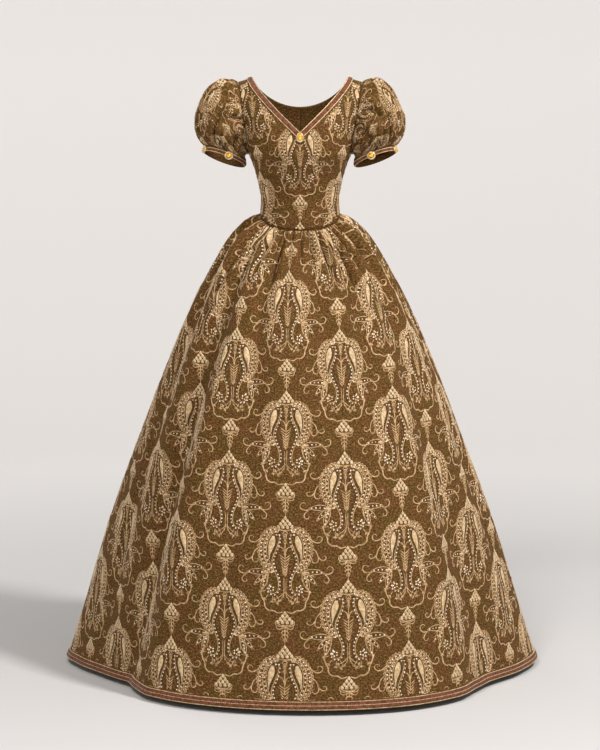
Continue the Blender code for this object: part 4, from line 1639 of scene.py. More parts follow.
class SkirtPanel(NamedTuple):
    """A panel of the skirt between two seams, in degrees round from the centre front.

    Its pattern is measured across from pattern_middle, and its motifs lie as the layout says.
    """

    node: str
    start: float
    end: float
    columns: int
    pattern_middle: float
    first_column: float
    swapped: bool
    flat: tuple[float, float]
    area: float


SKIRT_PANELS = (
    SkirtPanel("skirt_front", -90, 90, 320, 0, -0.034, False, (1.92, 1.24), 1.667),
    SkirtPanel("skirt_back_left", 90, 180, 110, 180, -0.0715, False, (0.96, 1.24), 0.834),
    SkirtPanel("skirt_back_right", -180, -90, 110, -180, 0.0715, True, (0.96, 1.24), 0.834),
)


@dataclass
class Skirt:
    """The skirt's three panels with their damask."""

    finishes: Finishes
    damask: Damask
    rows: int = 92
    row_crowding: float = 1.7
    first_crown: float = 0.1100
    pattern_length: float = 1.1915
    seam_rows: int = 2
    braid_top: float = 0.9815

    def build(self) -> None:
        """Make and finish every panel."""
        for panel in SKIRT_PANELS:
            cloth, down = self._cloth(panel)
            shell = self._shell(panel, cloth)
            worked = cloth.rows(self.seam_rows, np.searchsorted(down, self.braid_top))
            layout = Layout(panel.first_column, self.first_crown, swapped=panel.swapped)
            halves = panel.node == "skirt_front"
            made = self.damask.work(panel.node, worked, layout, self.finishes, halves)

    def _cloth(self, panel: SkirtPanel) -> tuple[Cloth, Array]:
        """A panel's cloth, and how far down the skirt its rows lie.

        Args:
            panel: the panel.

        Returns:
            The cloth and the shares down of its rows.
        """
        down = np.linspace(0, 1, self.rows) ** self.row_crowding
        share = np.linspace(panel.start, panel.end, panel.columns + 1) / 360
        points = SKIRT_FORM.point(share[None], down[:, None])
        angle = SKIRT_FORM.angle(share)
        outwards = vec(np.sin(angle), -np.cos(angle), 0)
        normals = grid_normals(points, outwards[None])
        normals[0] = outwards
        normals[1] = unit(outwards + normals[1])
        points = points + normals * SKIRT_CLOTH
        slant = SKIRT_FORM.slant(down)
        scale = mix(SKIRT_FORM.pattern_top, SKIRT_FORM.pattern_bottom, slant / slant[-1])
        across = (angle - np.radians(panel.pattern_middle))[None] * scale[:, None]
        return Cloth(points, normals, across, down * self.pattern_length), down

    def _shell(self, panel: SkirtPanel, cloth: Cloth) -> Piece:
        """The panel itself, standing in for its solid.

        Args:
            panel: the panel.
            cloth: its cloth.

        Returns:
            The piece.
        """
        rows, columns = cloth.points.shape[:2]
        points = cloth.points.reshape(-1, 3)
        faces = turned_out(points, grid_faces(rows, columns), cloth.normals.reshape(-1, 3))
        mesh = mesh_of(panel.node + "_cloth", points, faces, cloth.flat())
        return place_cloth(panel.node, mesh, self.finishes.brocade)


BODICE_CREASES = {
    1: (
        Crease(0.062, 0.275, 0.350, -0.012, 0.0045, -0.0012),
        Crease(0.034, 0.300, 0.372, -0.006, 0.0040, -0.0010),
        Crease(-0.058, 0.280, 0.352, 0.010, 0.0045, -0.0012),
        Crease(-0.028, 0.305, 0.376, 0.004, 0.0040, -0.0009),
        Crease(0.104, 0.205, 0.262, -0.022, 0.0055, -0.0014),
        Crease(-0.106, 0.208, 0.268, 0.020, 0.0055, -0.0014),
        Crease(0.088, 0.160, 0.212, 0.016, 0.0060, 0.0010),
        Crease(-0.090, 0.165, 0.216, -0.014, 0.0060, 0.0010),
    ),
    -1: (
        Crease(0.060, 0.270, 0.345, -0.010, 0.0045, -0.0012),
        Crease(0.030, 0.290, 0.352, -0.004, 0.0040, -0.0009),
        Crease(-0.056, 0.275, 0.345, 0.012, 0.0045, -0.0012),
        Crease(-0.026, 0.285, 0.350, 0.003, 0.0040, -0.0010),
        Crease(0.100, 0.180, 0.250, -0.018, 0.0055, -0.0012),
        Crease(-0.102, 0.185, 0.245, 0.020, 0.0055, -0.0012),
    ),
}


@dataclass
class Bodice:
    """The fitted bodice: a front on the fold and two backs, with their damask."""

    finishes: Finishes
    damask: Damask
    columns: int = 44
    strip_columns: int = 5
    upper_rows: int = 44
    lower_rows: int = 40
    worked_rows: int = 150
    worked_columns: int = 121
    first_drop: float = 0.0004
    last_drop: float = 0.399
    edge_points: int = 90
    seam_points: int = 60
    scale: float = 0.86
    crown_drop: float = 0.115
    back_column: float = 0.0615
    margin: float = 0.0012
    cut: dict = field(default_factory=lambda: {1: (0.42, 0.41, 0.104), -1: (0.21, 0.37, 0.050)})

    def build(self) -> None:
        """Make and finish every panel."""
        for side, name, middle in ((1, "bodice_front", 0.0), (-1, "bodice_back", self.back_column)):
            cloth = self._worked_cloth(side)
            crown = float(np.interp(self.crown_drop, self._drops(), cloth.down))
            layout = Layout(middle, crown, self.scale)
            made = self.damask.work(name, cloth, layout, self.finishes, clearance=self.margin)
            if side > 0:
                self._panel(side, cloth, name, (1, -1))
            else:
                self._panel(side, cloth, name + "_left", (1,))
                self._panel(side, cloth, name + "_right", (-1,))

    def _drops(self) -> Array:
        """The drops of the rows of the worked cloth."""
        return np.linspace(self.first_drop, self.last_drop, self.worked_rows)

    def _worked_cloth(self, side: int) -> Cloth:
        """The whole cloth before or behind, creased, with the distance to its edges.

        Args:
            side: 1 in front and -1 behind.

        Returns:
            The cloth. Across is measured from the centre line, and down from the shoulder.
        """
        columns = self.worked_columns
        drop = self._drops()[:, None]
        round_it = np.linspace(-np.pi / 2, np.pi / 2, columns)
        turn, climb = np.broadcast_arrays(np.pi / 2 - np.abs(round_it), side * np.sqrt(drop))
        points, normals = TORSO.point(turn, climb), TORSO.normal(turn, climb)
        for found in (points, normals):
            found[..., 0] *= np.sign(round_it)
        points = points + normals * BODICE_CLOTH
        run = lengths_along(points.transpose(1, 0, 2)).T
        across = run - run[:, columns // 2, None]
        down = lengths_along(points[:, columns * 3 // 4])
        rise = self._pressed(side, across, drop)
        cloth = Cloth(points + normals * rise[..., None], normals, across, down)
        cloth.room = self._room(side, cloth, turn, drop)
        return cloth

    def _pressed(self, side: int, across: Array, drop: Array) -> Array:
        """How far the creases move the cloth out.

        Args:
            side: 1 in front and -1 behind.
            across: how far across the points lie.
            drop: their drops.

        Returns:
            The distances.
        """
        moved = np.zeros(np.broadcast(across, drop).shape)
        for crease in BODICE_CREASES[side]:
            t = np.clip((drop - crease.top) / (crease.bottom - crease.top), 0, 1)
            reach = (across - crease.place - crease.drift * t) / crease.width
            moved = moved + crease.rise * np.exp(-(reach**2)) * np.sin(np.pi * t)
        return moved

    def _room(self, side: int, cloth: Cloth, turn: Array, drop: Array) -> Array:
        """How far each point of the whole cloth lies inside the panel's edges.

        Args:
            side: 1 in front and -1 behind.
            cloth: the whole cloth.
            turn: its points' turns.
            drop: its rows' drops.

        Returns:
            The distances, below 0 outside the edges.
        """
        share = np.linspace(0, 1, self.edge_points)
        neck, arm = TORSO.braid_edge(side, share), TORSO.armhole_line(side, share)
        turns = np.linspace(0, np.pi / 2, self.edge_points)
        waist = turns, side * np.sqrt(TORSO.waist_drop(side, turns))
        drops = np.linspace(TORSO.underarm_drop, TORSO.waist_drop_side, self.seam_points)
        seam = np.zeros(self.seam_points), side * np.sqrt(drops)
        edges = np.concatenate([TORSO.point(*line) for line in (neck, arm, waist, seam)])
        inner = cloth.points - cloth.normals * BODICE_CLOTH
        inner[..., 0] = np.abs(inner[..., 0])
        apart = np.linalg.norm(inner[:, :, None] - edges, axis=-1).min(axis=-1)
        neck_drop = np.interp(turn, neck[0], neck[1] ** 2, left=-1.0)
        arm_turn = np.interp(drop, arm[1] ** 2, arm[0], right=-1.0)
        kept = (drop > neck_drop) & (turn > arm_turn) & (drop < TORSO.waist_drop(side, turn))
        if side < 0:
            apart = np.minimum(apart, np.abs(cloth.across))
        return np.where(kept, apart, -apart)

    def _grid(self, side: int) -> tuple[tuple[Array, Array], tuple[Array, Array]]:
        """The turns and climbs of a half panel: the strip under the braid, and the rest.

        Args:
            side: 1 in front and -1 behind.

        Returns:
            The strip's turns and climbs, and the rest's.
        """
        share = np.linspace(0, 1, self.upper_rows + 1)
        neck, edge = TORSO.neck_line(side, share), TORSO.braid_edge(side, share)
        arm = TORSO.armhole_line(side, share)
        part = np.linspace(0, 1, self.strip_columns)
        strip = tuple(mix(a[:, None], b[:, None], part) for a, b in zip(neck, edge))
        column = np.linspace(0, 1, self.columns + 1)
        level = 1 - (1 - column) ** 2
        turn = mix(edge[0][:, None], arm[0][:, None], column)
        climb = mix(edge[1][:, None], arm[1][:, None], level)
        low = side * np.sqrt(TORSO.waist_drop(side, turn[-1]))
        down = np.linspace(0, 1, self.lower_rows + 1)[1:, None]
        lower = np.broadcast_to(turn[-1], (self.lower_rows, len(column)))
        body = np.vstack([turn, lower]), np.vstack([climb, mix(climb[-1], low, down)])
        return strip, body

    def _panel(self, side: int, cloth: Cloth, node: str, halves: Sequence[int]) -> None:
        """A panel, made of one or both of its halves, standing in for its solid.

        Args:
            side: 1 in front and -1 behind.
            cloth: the whole cloth, which tells where each point lies when flat.
            node: the solid's name.
            halves: 1 for the wearer's left half and -1 for the right.
        """
        points, faces, flat = [], [], []
        strip, body = self._grid(side)
        for half in halves:
            for turn, climb in (strip, body):
                grid, lie = self._half(side, cloth, (turn, climb), half, turn is strip[0])
                look = grid + [0, 0, TORSO.waist_drop_side / 2]
                quads = turned_out(grid, grid_faces(*turn.shape), look)
                faces.append(quads + sum(len(p) for p in points))
                points.append(grid)
                flat.append(lie)
        mesh = mesh_of(node + "_cloth", np.vstack(points), np.vstack(faces), np.vstack(flat))
        weld(mesh)
        shell = place_cloth(node, mesh, self.finishes.brocade)

    def _half(
        self, side: int, cloth: Cloth, at: tuple[Array, Array], half: int, is_strip: bool
    ) -> tuple[Array, Array]:
        """Points of a half panel's grid and where they lie when flat.

        Args:
            side: 1 in front and -1 behind.
            cloth: the whole cloth.
            at: the grid's turns and climbs.
            half: 1 for the wearer's left half and -1 for the right.
            is_strip: whether it is the strip under the neck braid.

        Returns:
            The points in space and on the flat cloth.
        """
        turn, climb = at
        drop = climb * climb
        rows = np.interp(drop, self._drops(), np.arange(self.worked_rows))
        columns = (1 + half * (1 - 2 * turn / np.pi)) * (self.worked_columns - 1) / 2
        above = np.clip(rows.astype(int), 0, self.worked_rows - 2)
        left = np.clip(columns.astype(int), 0, self.worked_columns - 2)
        reach = cloth.across
        ends = (mix(reach[k, left], reach[k, left + 1], columns - left) for k in (above, above + 1))
        across = mix(*ends, rows - above)
        down = np.interp(drop, self._drops(), cloth.down)
        rise = BODICE_CLOTH + self._pressed(side, across, drop)
        points = TORSO.point(turn, climb) + TORSO.normal(turn, climb) * rise[..., None]
        if is_strip:
            points[-1, :, 0] = 0
        else:
            points[self.upper_rows :, 0, 0] = 0
        points[..., 0] *= half
        return points.reshape(-1, 3), np.stack([across.ravel(), -down.ravel()], axis=1)


@dataclass(frozen=True)
class SleeveForm:
    """The left sleeve's inner face, from the armhole (share 0) to the cuff's lower edge (2)."""

    pivot_across: float = 0.125
    pivot_drop: float = 0.2176
    cuff_band: float = 0.0145
    cuff_braid_top: float = 0.24
    stand: float = 0.0030
    gap: float = 0.0006
    inner_gather_share: float = 0.15
    cuff_front_lift: float = 0.009
    cuff_lift_start: float = 0.5
    armhole_fit_share: float = 0.5
    gathers: int = 16
    armhole_rows: int = 8
    changes: tuple[Wave, ...] = (Wave(0.30, 2, 0.7), Wave(0.20, 5, 0.0))
    extra_gather: Wave = Wave(0.35, 37, 0.6)
    crease_fullness: float = 0.8
    creases_turned: float = 0.0
    cuff_way: tuple[float, float, float] = (0.335, 0.10, -0.942)

    @property
    def cuff_direction(self) -> Array:
        """The way the cuff points."""
        return unit(np.array(self.cuff_way))

    def armhole(self, angle: Array) -> tuple[Array, Array]:
        """Where the sleeve is sewn in, and where it has left the seam square to the bodice.

        Args:
            angle: angles round from the shoulder, a quarter turn being the front.

        Returns:
            The points of both rings.
        """
        share = np.linspace(0, 1, self.armhole_rows + 1)
        rings = {}
        for side in (1, -1):
            at = TORSO.armhole_line(side, share)
            normal, point = TORSO.normal(*at), TORSO.point(*at)
            into = unit(np.cross(TORSO.along(TORSO.armhole_line, side, share), normal))
            middle = vec(0, -point[:, 1], -TORSO.underarm_drop / 2 - point[:, 2])
            into = into * np.where(dot(into, middle) < 0, -1, 1)
            rings[side] = point, into, normal
        turned = np.abs(np.remainder(angle + np.pi, 2 * np.pi) - np.pi) / np.pi * self.armhole_rows
        above = np.clip((turned + 1e-6).astype(int), 0, self.armhole_rows - 1)
        part = (turned - above)[..., None]
        front = (np.sin(angle) >= 0)[..., None]
        read = []
        for k in range(3):
            sides = [mix(rings[s][k][above], rings[s][k][above + 1], part) for s in (1, -1)]
            read.append(np.where(front, *sides))
        seam = read[0] + unit(read[1]) * (SLEEVE_CLOTH + self.gap)
        return seam, seam + unit(read[2]) * self.stand

    def section(self, angle: Array, share: Array) -> Array:
        """Points of the plain turning sections.

        Args:
            angle: angles round from the outermost line.
            share: how far down the puff.

        Returns:
            The points.
        """
        outside, inside = (smooth(SLEEVE_ROWS, c, share) for c in ("outside", "inside"))
        reach = (outside + inside) / 2 + (outside - inside) / 2 * np.cos(angle)
        lean = np.radians(smooth(SLEEVE_ROWS, "turned", share))
        depth = smooth(SLEEVE_ROWS, "half_depth", share)
        x = self.pivot_across + reach * np.sin(lean)
        return vec(x, -depth * np.sin(angle), -self.pivot_drop + reach * np.cos(lean))

    def pressed(self, angle: Array, share: Array) -> Array:
        """How far the listed creases move the cloth out.

        Args:
            angle: the angles.
            share: how far down the puff.

        Returns:
            The distances.
        """
        moved = np.zeros(np.broadcast(angle, share).shape)
        for crease in SLEEVE_CREASES:
            t = np.clip((share - crease.top) / (crease.bottom - crease.top), 0, 1)
            centre = np.radians(crease.place + self.creases_turned + crease.drift * t)
            apart = np.remainder(angle - centre + np.pi, 2 * np.pi) - np.pi
            reach = np.degrees(apart) / crease.width
            depth = np.sin(np.pi * t) ** self.crease_fullness
            moved = moved + crease.rise * np.exp(-(reach**2)) * depth
        return moved

    def point(self, angle: Array, share: Array, dressed: bool = True) -> Array:
        """Points of the sleeve.

        Args:
            angle: angles round from the outermost line, a quarter turn being the front.
            share: 0 at the armhole, 1 at the cuff's top and 2 at its lower edge.
            dressed: whether the creases that only the looks have are pressed in.

        Returns:
            The points.
        """
        angle, share = np.broadcast_arrays(angle, share)
        puff = np.minimum(share, 1.0)
        point = self.section(angle, puff)
        fit = np.maximum(0, 1 - puff / self.armhole_fit_share) ** 2
        start = self.armhole(angle)[1] - self.section(angle, np.zeros(angle.shape))
        point = point + start * fit[..., None]
        ends = self.section(np.zeros(angle.shape), puff), self.section(np.full(angle.shape, np.pi), puff)
        away = unit(point - mix(*ends, 0.5))
        uneven = 1 + waves(self.changes, angle)
        uneven = uneven * mix(self.inner_gather_share, 1, (1 + np.cos(angle)) / 2)
        beat = np.cos(self.gathers * angle)
        out = smooth(SLEEVE_ROWS, "gather", puff) * uneven
        if dressed:
            beat = beat + waves([self.extra_gather], angle)
        out = out * beat
        if dressed:
            out = out + self.pressed(angle, puff)
        point = point + away * out[..., None]
        late = np.maximum(0, puff - self.cuff_lift_start) / (1 - self.cuff_lift_start)
        point[..., 2] += self.cuff_front_lift * np.sin(angle) * late
        below = np.maximum(share - 1, 0)[..., None]
        return point + self.cuff_direction * self.cuff_band * below


SLEEVE_FORM = SleeveForm()

SLEEVE_CREASES = (
    Crease(86, 0.10, 0.62, -14, 5.4, -0.0160),
    Crease(60, 0.30, 0.98, 8, 4.8, -0.0144),
    Crease(112, 0.22, 0.90, 6, 5.4, -0.0152),
    Crease(38, 0.08, 0.55, 10, 4.8, -0.0126),
    Crease(20, 0.45, 0.99, -8, 4.8, -0.0135),
    Crease(74, 0.50, 0.99, 4, 4.1, 0.0055),
    Crease(98, 0.05, 0.50, 8, 4.8, 0.0060),
    Crease(48, 0.15, 0.70, -10, 5.4, 0.0055),
    Crease(80, 0.60, 0.99, 6, 4.1, -0.0118),
    Crease(100, 0.62, 0.99, -4, 3.4, -0.0109),
    Crease(-12, 0.10, 0.65, 12, 5.4, -0.0135),
    Crease(-38, 0.28, 0.97, -8, 5.4, -0.0144),
    Crease(-64, 0.10, 0.60, 10, 5.4, -0.0152),
    Crease(-88, 0.35, 0.98, -6, 4.8, -0.0135),
    Crease(-112, 0.15, 0.75, 6, 5.4, -0.0126),
    Crease(-28, 0.05, 0.50, 6, 4.8, 0.0055),
    Crease(-76, 0.40, 0.96, 8, 4.8, 0.0055),
    Crease(-56, 0.60, 0.99, 4, 4.1, -0.0118),
    Crease(142, 0.30, 0.90, -6, 5.4, -0.0068),
    Crease(-144, 0.30, 0.90, 6, 5.4, -0.0068),
)


@dataclass
class Sleeves:
    """The puffed sleeves with their damask."""

    finishes: Finishes
    damask: Damask
    columns: int = 144
    puff_rows: int = 66
    cuff_rows: int = 6
    scale: float = 0.80
    first_column: float = 0.040
    crown_down: float = 0.035
    pattern_radius: float = 0.088
    worked_shares: tuple[float, float] = (0.02, 0.985)
    seam_share: float = -0.02
    right_turned: float = 13.0
    cut: tuple[float, float, float] = (0.50, 0.27, 0.105)

    def build(self) -> None:
        """Make and finish both sleeves."""
        for name, side in (("left", 1), ("right", -1)):
            form = SLEEVE_FORM if side > 0 else SleeveForm(creases_turned=self.right_turned)
            cloth, share = self._cloth(form, side)
            rows, columns = cloth.points.shape[:2]
            points = cloth.points.reshape(-1, 3)
            quads = turned_out(points, grid_faces(rows, columns), cloth.normals.reshape(-1, 3))
            mesh = mesh_of(f"sleeve_{name}_cloth", points, quads, cloth.flat())
            weld(mesh)
            shell = place_cloth(f"sleeve_{name}", mesh, self.finishes.brocade)
            worked = cloth.rows(*np.searchsorted(share, self.worked_shares))
            layout = Layout(self.first_column, self.crown_down, self.scale)
            made = self.damask.work(f"sleeve_{name}", worked, layout, self.finishes)

    def _cloth(self, form: SleeveForm, side: int) -> tuple[Cloth, Array]:
        """A sleeve's cloth, and the shares of its rows.

        Args:
            form: the sleeve's form.
            side: 1 for the wearer's left and -1 for the right.

        Returns:
            The cloth and the shares.
        """
        angle = np.linspace(-np.pi, np.pi, self.columns + 1)
        share = np.linspace(0, 1, self.puff_rows + 1)
        share = np.concatenate([share, np.linspace(1, 2, self.cuff_rows + 1)[1:]])
        points = form.point(angle[None], share[:, None])
        seam = form.armhole(angle)[0]
        points = np.concatenate([seam[None], points])
        share = np.concatenate([[self.seam_share], share])
        middles = points[:, :-1].mean(axis=1, keepdims=True)
        normals = grid_normals(points, points - middles, closed=True)
        points = points + normals * SLEEVE_CLOTH
        points[0] = seam + normals[1] * SLEEVE_CLOTH
        down = lengths_along(points[:, self.columns // 2])
        across = angle * self.pattern_radius
        points[..., 0] *= side
        normals[..., 0] *= side
        return Cloth(points, normals, across[None], down), share


@dataclass
class Braid:
    """Plaited braid: strands between two round pipings, on a dark backing whose colour paints the shade
    in the gaps between the strands.

    It is drawn flat, across from its upper edge and down along its length, and laid on a strip.
    """

    finishes: Finishes
    rows: int = 1
    pitch: float = 0.0130
    strand: float = 0.0036
    strand_rise: float = 0.0015
    over_and_under: float = 0.0008
    samples: int = 10
    piping: float = 0.0031
    piping_rise: float = 0.0021
    piping_step: float = 0.005
    skirting: float = 0.0011
    piping_seat: float = 0.8
    piping_inset: float = 0.42
    inner_piping: float = 0.7
    mean_lift: float = 0.7

    def build(self, name: str, node: str, strip: Cloth, closed: bool) -> Piece:
        """Make a braid.

        Args:
            name: the new piece's name.
            node: the solid that it stands in for.
            strip: the strip that it lies on; its rows run along the braid.
            closed: whether its ends meet; not used.

        Returns:
            The piece.
        """
        width = float(strip.across.max())
        length = float(strip.down[-1])
        parts = [self._backing(strip)]
        for line, wide, base, rise, finish in self._lines(width, length, closed):
            points, faces = ribbon(line, np.full(len(line), wide), base, rise)
            placed, _ = strip.lay(points[:, 0], points[:, 1], points[:, 2])
            parts.append((placed, faces, finish))
        points = np.vstack([p for p, _, _ in parts])
        starts = np.cumsum([0] + [len(p) for p, _, _ in parts[:-1]])
        faces = np.vstack([f + s for (_, f, _), s in zip(parts, starts)])
        finish = np.concatenate([np.full(len(f), k) for _, f, k in parts])
        mesh = mesh_of(name, points, faces)
        mesh.polygons.foreach_set("material_index", finish.astype(np.int32))
        braid = place_piece(name, mesh, self.finishes.plait)
        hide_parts(node)
        return braid

    def _backing(self, strip: Cloth) -> tuple[Array, Array, int]:
        """The dark backing, a plain band that shows between the strands; its dark colour is painted
        shade in those gaps.
        """
        points = strip.points.reshape(-1, 3)
        faces = grid_faces(*strip.points.shape[:2])
        return points, turned_out(points, faces, strip.normals.reshape(-1, 3)), 2

    def _lines(self, width: float, length: float, closed: bool) -> Iterable[tuple]:
        """Every strand and piping: its line, width, base, rise and material.

        Args:
            width: the braid's width.
            length: its length.
            closed: whether its ends meet; not used.

        Returns:
            Those five values for each.
        """
        seat = self.piping * self.piping_seat
        lane = (width - 2 * seat) / self.rows
        count = max(1, round(length / self.pitch))
        run = np.linspace(0, 1, count * self.samples + 1)
        for row in range(self.rows):
            middle = seat + lane * (row + 0.5)
            swing = lane / 2 - self.strand / 2
            for strand in range(3):
                phase = 2 * np.pi * (run * count + strand / 3 + row / 2)
                line = np.stack([middle + swing * np.sin(phase), run * length], axis=1)
                base = self.over_and_under * (np.sin(2 * phase) + self.mean_lift)
                yield line, self.strand, base, self.strand_rise, 0
        run = np.linspace(0, length, max(2, int(length / self.piping_step)))
        inset = self.piping * self.piping_inset
        for place in (inset, width - inset):
            line = np.stack([np.full(len(run), place), run], axis=1)
            yield line, self.piping, -self.skirting, self.piping_rise + self.skirting, 1
        for row in range(1, self.rows):
            line = np.stack([np.full(len(run), seat + lane * row), run], axis=1)
            yield line, self.piping * self.inner_piping, 0.0, self.piping_rise, 1


def strip_between(
    upper: Array,
    lower: Array,
    upper_out: Array,
    lower_out: Array,
    height: float,
    columns: int = 3,
) -> Cloth:
    """A strip between two edges.

    Args:
        upper: the points along one edge.
        lower: those along the other.
        upper_out: the outward normals along the first edge.
        lower_out: those along the second.
        height: how far outside these points it lies.
        columns: how many points it has across.

    Returns:
        The strip, with rows along it and across measured from the first edge.
    """
    part = np.linspace(0, 1, columns)[None, :, None]
    normals = unit(mix(upper_out[:, None], lower_out[:, None], part))
    points = mix(upper[:, None], lower[:, None], part) + normals * height
    width = float(np.linalg.norm(lower - upper, axis=-1).mean())
    down = lengths_along(points[:, columns // 2])
    return Cloth(points, normals, np.linspace(0, width, columns)[None], down)


@dataclass
class Braids:
    """The braid round the neckline, the cuffs and the hem."""

    finishes: Finishes
    backing_lift: float = 0.0006
    neck_rows: int = 90
    hem_rows: int = 720
    cuff_rows: int = 96
    hem_braid_top: float = 0.9826

    def build(self) -> None:
        """Make all four braids."""
        plain = Braid(self.finishes)
        double = Braid(self.finishes, rows=2, pitch=0.0150, strand=0.0032)
        plain.build("neck_plait", "neck_braid", self._neck(), False)
        double.build("hem_plait", "hem_braid", self._hem(), True)
        for name, side in (("left", 1), ("right", -1)):
            plain.build(f"cuff_plait_{name}", f"cuff_braid_{name}", self._cuff(side), True)

    def _neck(self) -> Cloth:
        """The strip round the neckline, from the centre back over the wearer's left shoulder."""
        share = np.linspace(0, 1, self.neck_rows)
        parts = []
        for side, order in ((-1, slice(None, None, -1)), (1, slice(None))):
            edges = TORSO.neck_line(side, share), TORSO.braid_edge(side, share)
            found = [TORSO.point(*edge)[order] for edge in edges]
            found += [TORSO.normal(*edge)[order] for edge in edges]
            for column in found[:2]:
                column[-1 if side > 0 else 0, 0] = 0.0
            for column in found[2:]:
                column[-1 if side > 0 else 0] *= [0, 1, 1]
            parts.append(found)
        half = [np.vstack([back[:-1], front]) for back, front in zip(*parts)]
        other = [line[-2::-1] * [-1, 1, 1] for line in half]
        upper, lower, upper_out, lower_out = (np.vstack(pair) for pair in zip(half, other))
        height = BODICE_CLOTH + BRAID_GAP + self.backing_lift
        return strip_between(upper, lower, unit(upper_out), unit(lower_out), height)

    def _hem(self) -> Cloth:
        """The strip round the hem, from the centre back."""
        share = np.linspace(-0.5, 0.5, self.hem_rows + 1)
        down = np.array([self.hem_braid_top, 1.0])
        points = SKIRT_FORM.point(share[:, None], down[None])
        angle = SKIRT_FORM.angle(share)
        outwards = vec(np.sin(angle), -np.cos(angle), 0)[:, None]
        normals = grid_normals(points, np.broadcast_to(outwards, points.shape))
        height = SKIRT_CLOTH + BRAID_GAP + self.backing_lift
        return strip_between(points[:, 0], points[:, 1], normals[:, 0], normals[:, 1], height)

    def _cuff(self, side: int) -> Cloth:
        """The strip round a cuff.

        Args:
            side: 1 for the wearer's left and -1 for the right.

        Returns:
            The strip.
        """
        angle = np.linspace(-np.pi, np.pi, self.cuff_rows + 1)
        top = 1 + SLEEVE_FORM.cuff_braid_top
        edges = [SLEEVE_FORM.point(angle, np.full(angle.shape, share), False) for share in (top, 2.0)]
        outs = []
        for edge in edges:
            away = edge - edge[:-1].mean(axis=0)
            along_cuff = SLEEVE_FORM.cuff_direction
            outs.append(unit(away - dot(away, along_cuff) * along_cuff))
        for line in (*edges, *outs):
            line[:, 0] *= side
        height = SLEEVE_CLOTH + BRAID_GAP + self.backing_lift
        return strip_between(*edges, *outs, height)


class DishRow(NamedTuple):
    """A ring of an oval dish: its part of the half width, and of the rise."""

    reach: float
    level: float


SETTING_ROWS = (
    DishRow(1.00, 0.00),
    DishRow(1.02, 0.25),
    DishRow(0.99, 0.50),
    DishRow(0.90, 0.62),
    DishRow(0.80, 0.66),
    DishRow(0.74, 0.90),
    DishRow(0.70, 1.00),
    DishRow(0.66, 0.92),
    DishRow(0.64, 0.40),
)

GEM_ROWS = (
    DishRow(1.00, 0.00),
    DishRow(1.00, 0.30),
    DishRow(0.84, 0.68),
    DishRow(0.58, 1.00),
)


@dataclass(frozen=True)
class Jewel:
    """An oval cut stone in a gilded dish with a rim of beads."""

    name: str
    width: float
    height: float
    gem_share: float
    beads: int
    setting_rise: float = 0.0034
    gem_rise: float = 0.0042
    sides: int = 48
    facets: int = 12
    gem_seat: float = 0.55
    bead_level: float = 0.8
    bead_reach: float = 0.87
    bead_size: float = 0.0026
    bead_rings: int = 5
    bead_sides: int = 9

    def build(self, finishes: Finishes, place: Matrix) -> None:
        """Make the setting and the gem, standing in for their solids.

        Args:
            finishes: the gown's finishes.
            place: the jewel's own axes, z being the way that it faces.
        """
        mesh = self._setting()
        setting = place_piece(f"{self.name}_rim", mesh, [finishes.gilt, finishes.beads])
        gem = place_piece(f"{self.name}_stone", self._gem(), [finishes.amber])
        for piece, node in ((setting, "setting"), (gem, "gem")):
            piece.data.transform(place)
            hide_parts(f"{self.name}_{node}")

    def _rings(self, rows: Sequence[DishRow], share: float, sides: int, offset: float) -> list[Array]:
        """Oval rings of points.

        Args:
            rows: the rings' rows; their levels are parts of the rise.
            share: how large they are, as a part of the jewel.
            sides: how many points each has.
            offset: how much further round each starts than the last, in sides.

        Returns:
            The rings, as if the rise was 1.
        """
        rings = []
        for k, row in enumerate(rows):
            way = 2 * np.pi * (np.arange(sides) + k * offset) / sides
            reach = row.reach * share / 2
            x, y = self.width * reach * np.cos(way), self.height * reach * np.sin(way)
            rings.append(vec(x, y, row.level))
        return rings

    def _setting(self) -> Mesh:
        """The dish and its rim of beads, in the jewel's own axes."""
        shape = bmesh.new()
        rings = self._rings(SETTING_ROWS, 1.0, self.sides, 0)
        grid = [[shape.verts.new(p * [1, 1, self.setting_rise]) for p in ring] for ring in rings]
        for lower, upper in zip(grid, grid[1:]):
            for i in range(self.sides):
                j = (i + 1) % self.sides
                shape.faces.new((lower[i], lower[j], upper[j], upper[i]))
        shape.faces.new(list(reversed(grid[0])))
        shape.faces.new(grid[-1])
        for i in range(self.beads):
            way = 2 * math.pi * i / self.beads
            x = self.width / 2 * self.bead_reach * math.cos(way)
            y = self.height / 2 * self.bead_reach * math.sin(way)
            spot = Matrix.Translation((x, y, self.setting_rise * self.bead_level))
            made = bmesh.ops.create_uvsphere(
                shape,
                u_segments=self.bead_sides,
                v_segments=self.bead_rings,
                radius=self.bead_size / 2,
                matrix=spot,
            )
            for face in {f for vert in made["verts"] for f in vert.link_faces}:
                face.material_index = 1
        mesh = bpy.data.meshes.new(f"{self.name}_rim")
        shape.to_mesh(mesh)
        shape.free()
        mesh.shade_smooth()
        return mesh

    def _gem(self) -> Mesh:
        """The cut stone, in flat facets, in the jewel's own axes."""
        shape = bmesh.new()
        rings = self._rings(GEM_ROWS, self.gem_share, self.facets, 0.5)
        seat = np.array([0, 0, self.setting_rise * self.gem_seat])
        grid = [[shape.verts.new(p * [1, 1, self.gem_rise] + seat) for p in ring] for ring in rings]
        for lower, upper in zip(grid, grid[1:]):
            for i in range(self.facets):
                j = (i + 1) % self.facets
                shape.faces.new((lower[i], lower[j], upper[i]))
                shape.faces.new((lower[j], upper[j], upper[i]))
        shape.faces.new(list(reversed(grid[0])))
        shape.faces.new(grid[-1])
        mesh = bpy.data.meshes.new(f"{self.name}_stone")
        shape.to_mesh(mesh)
        shape.free()
        return mesh


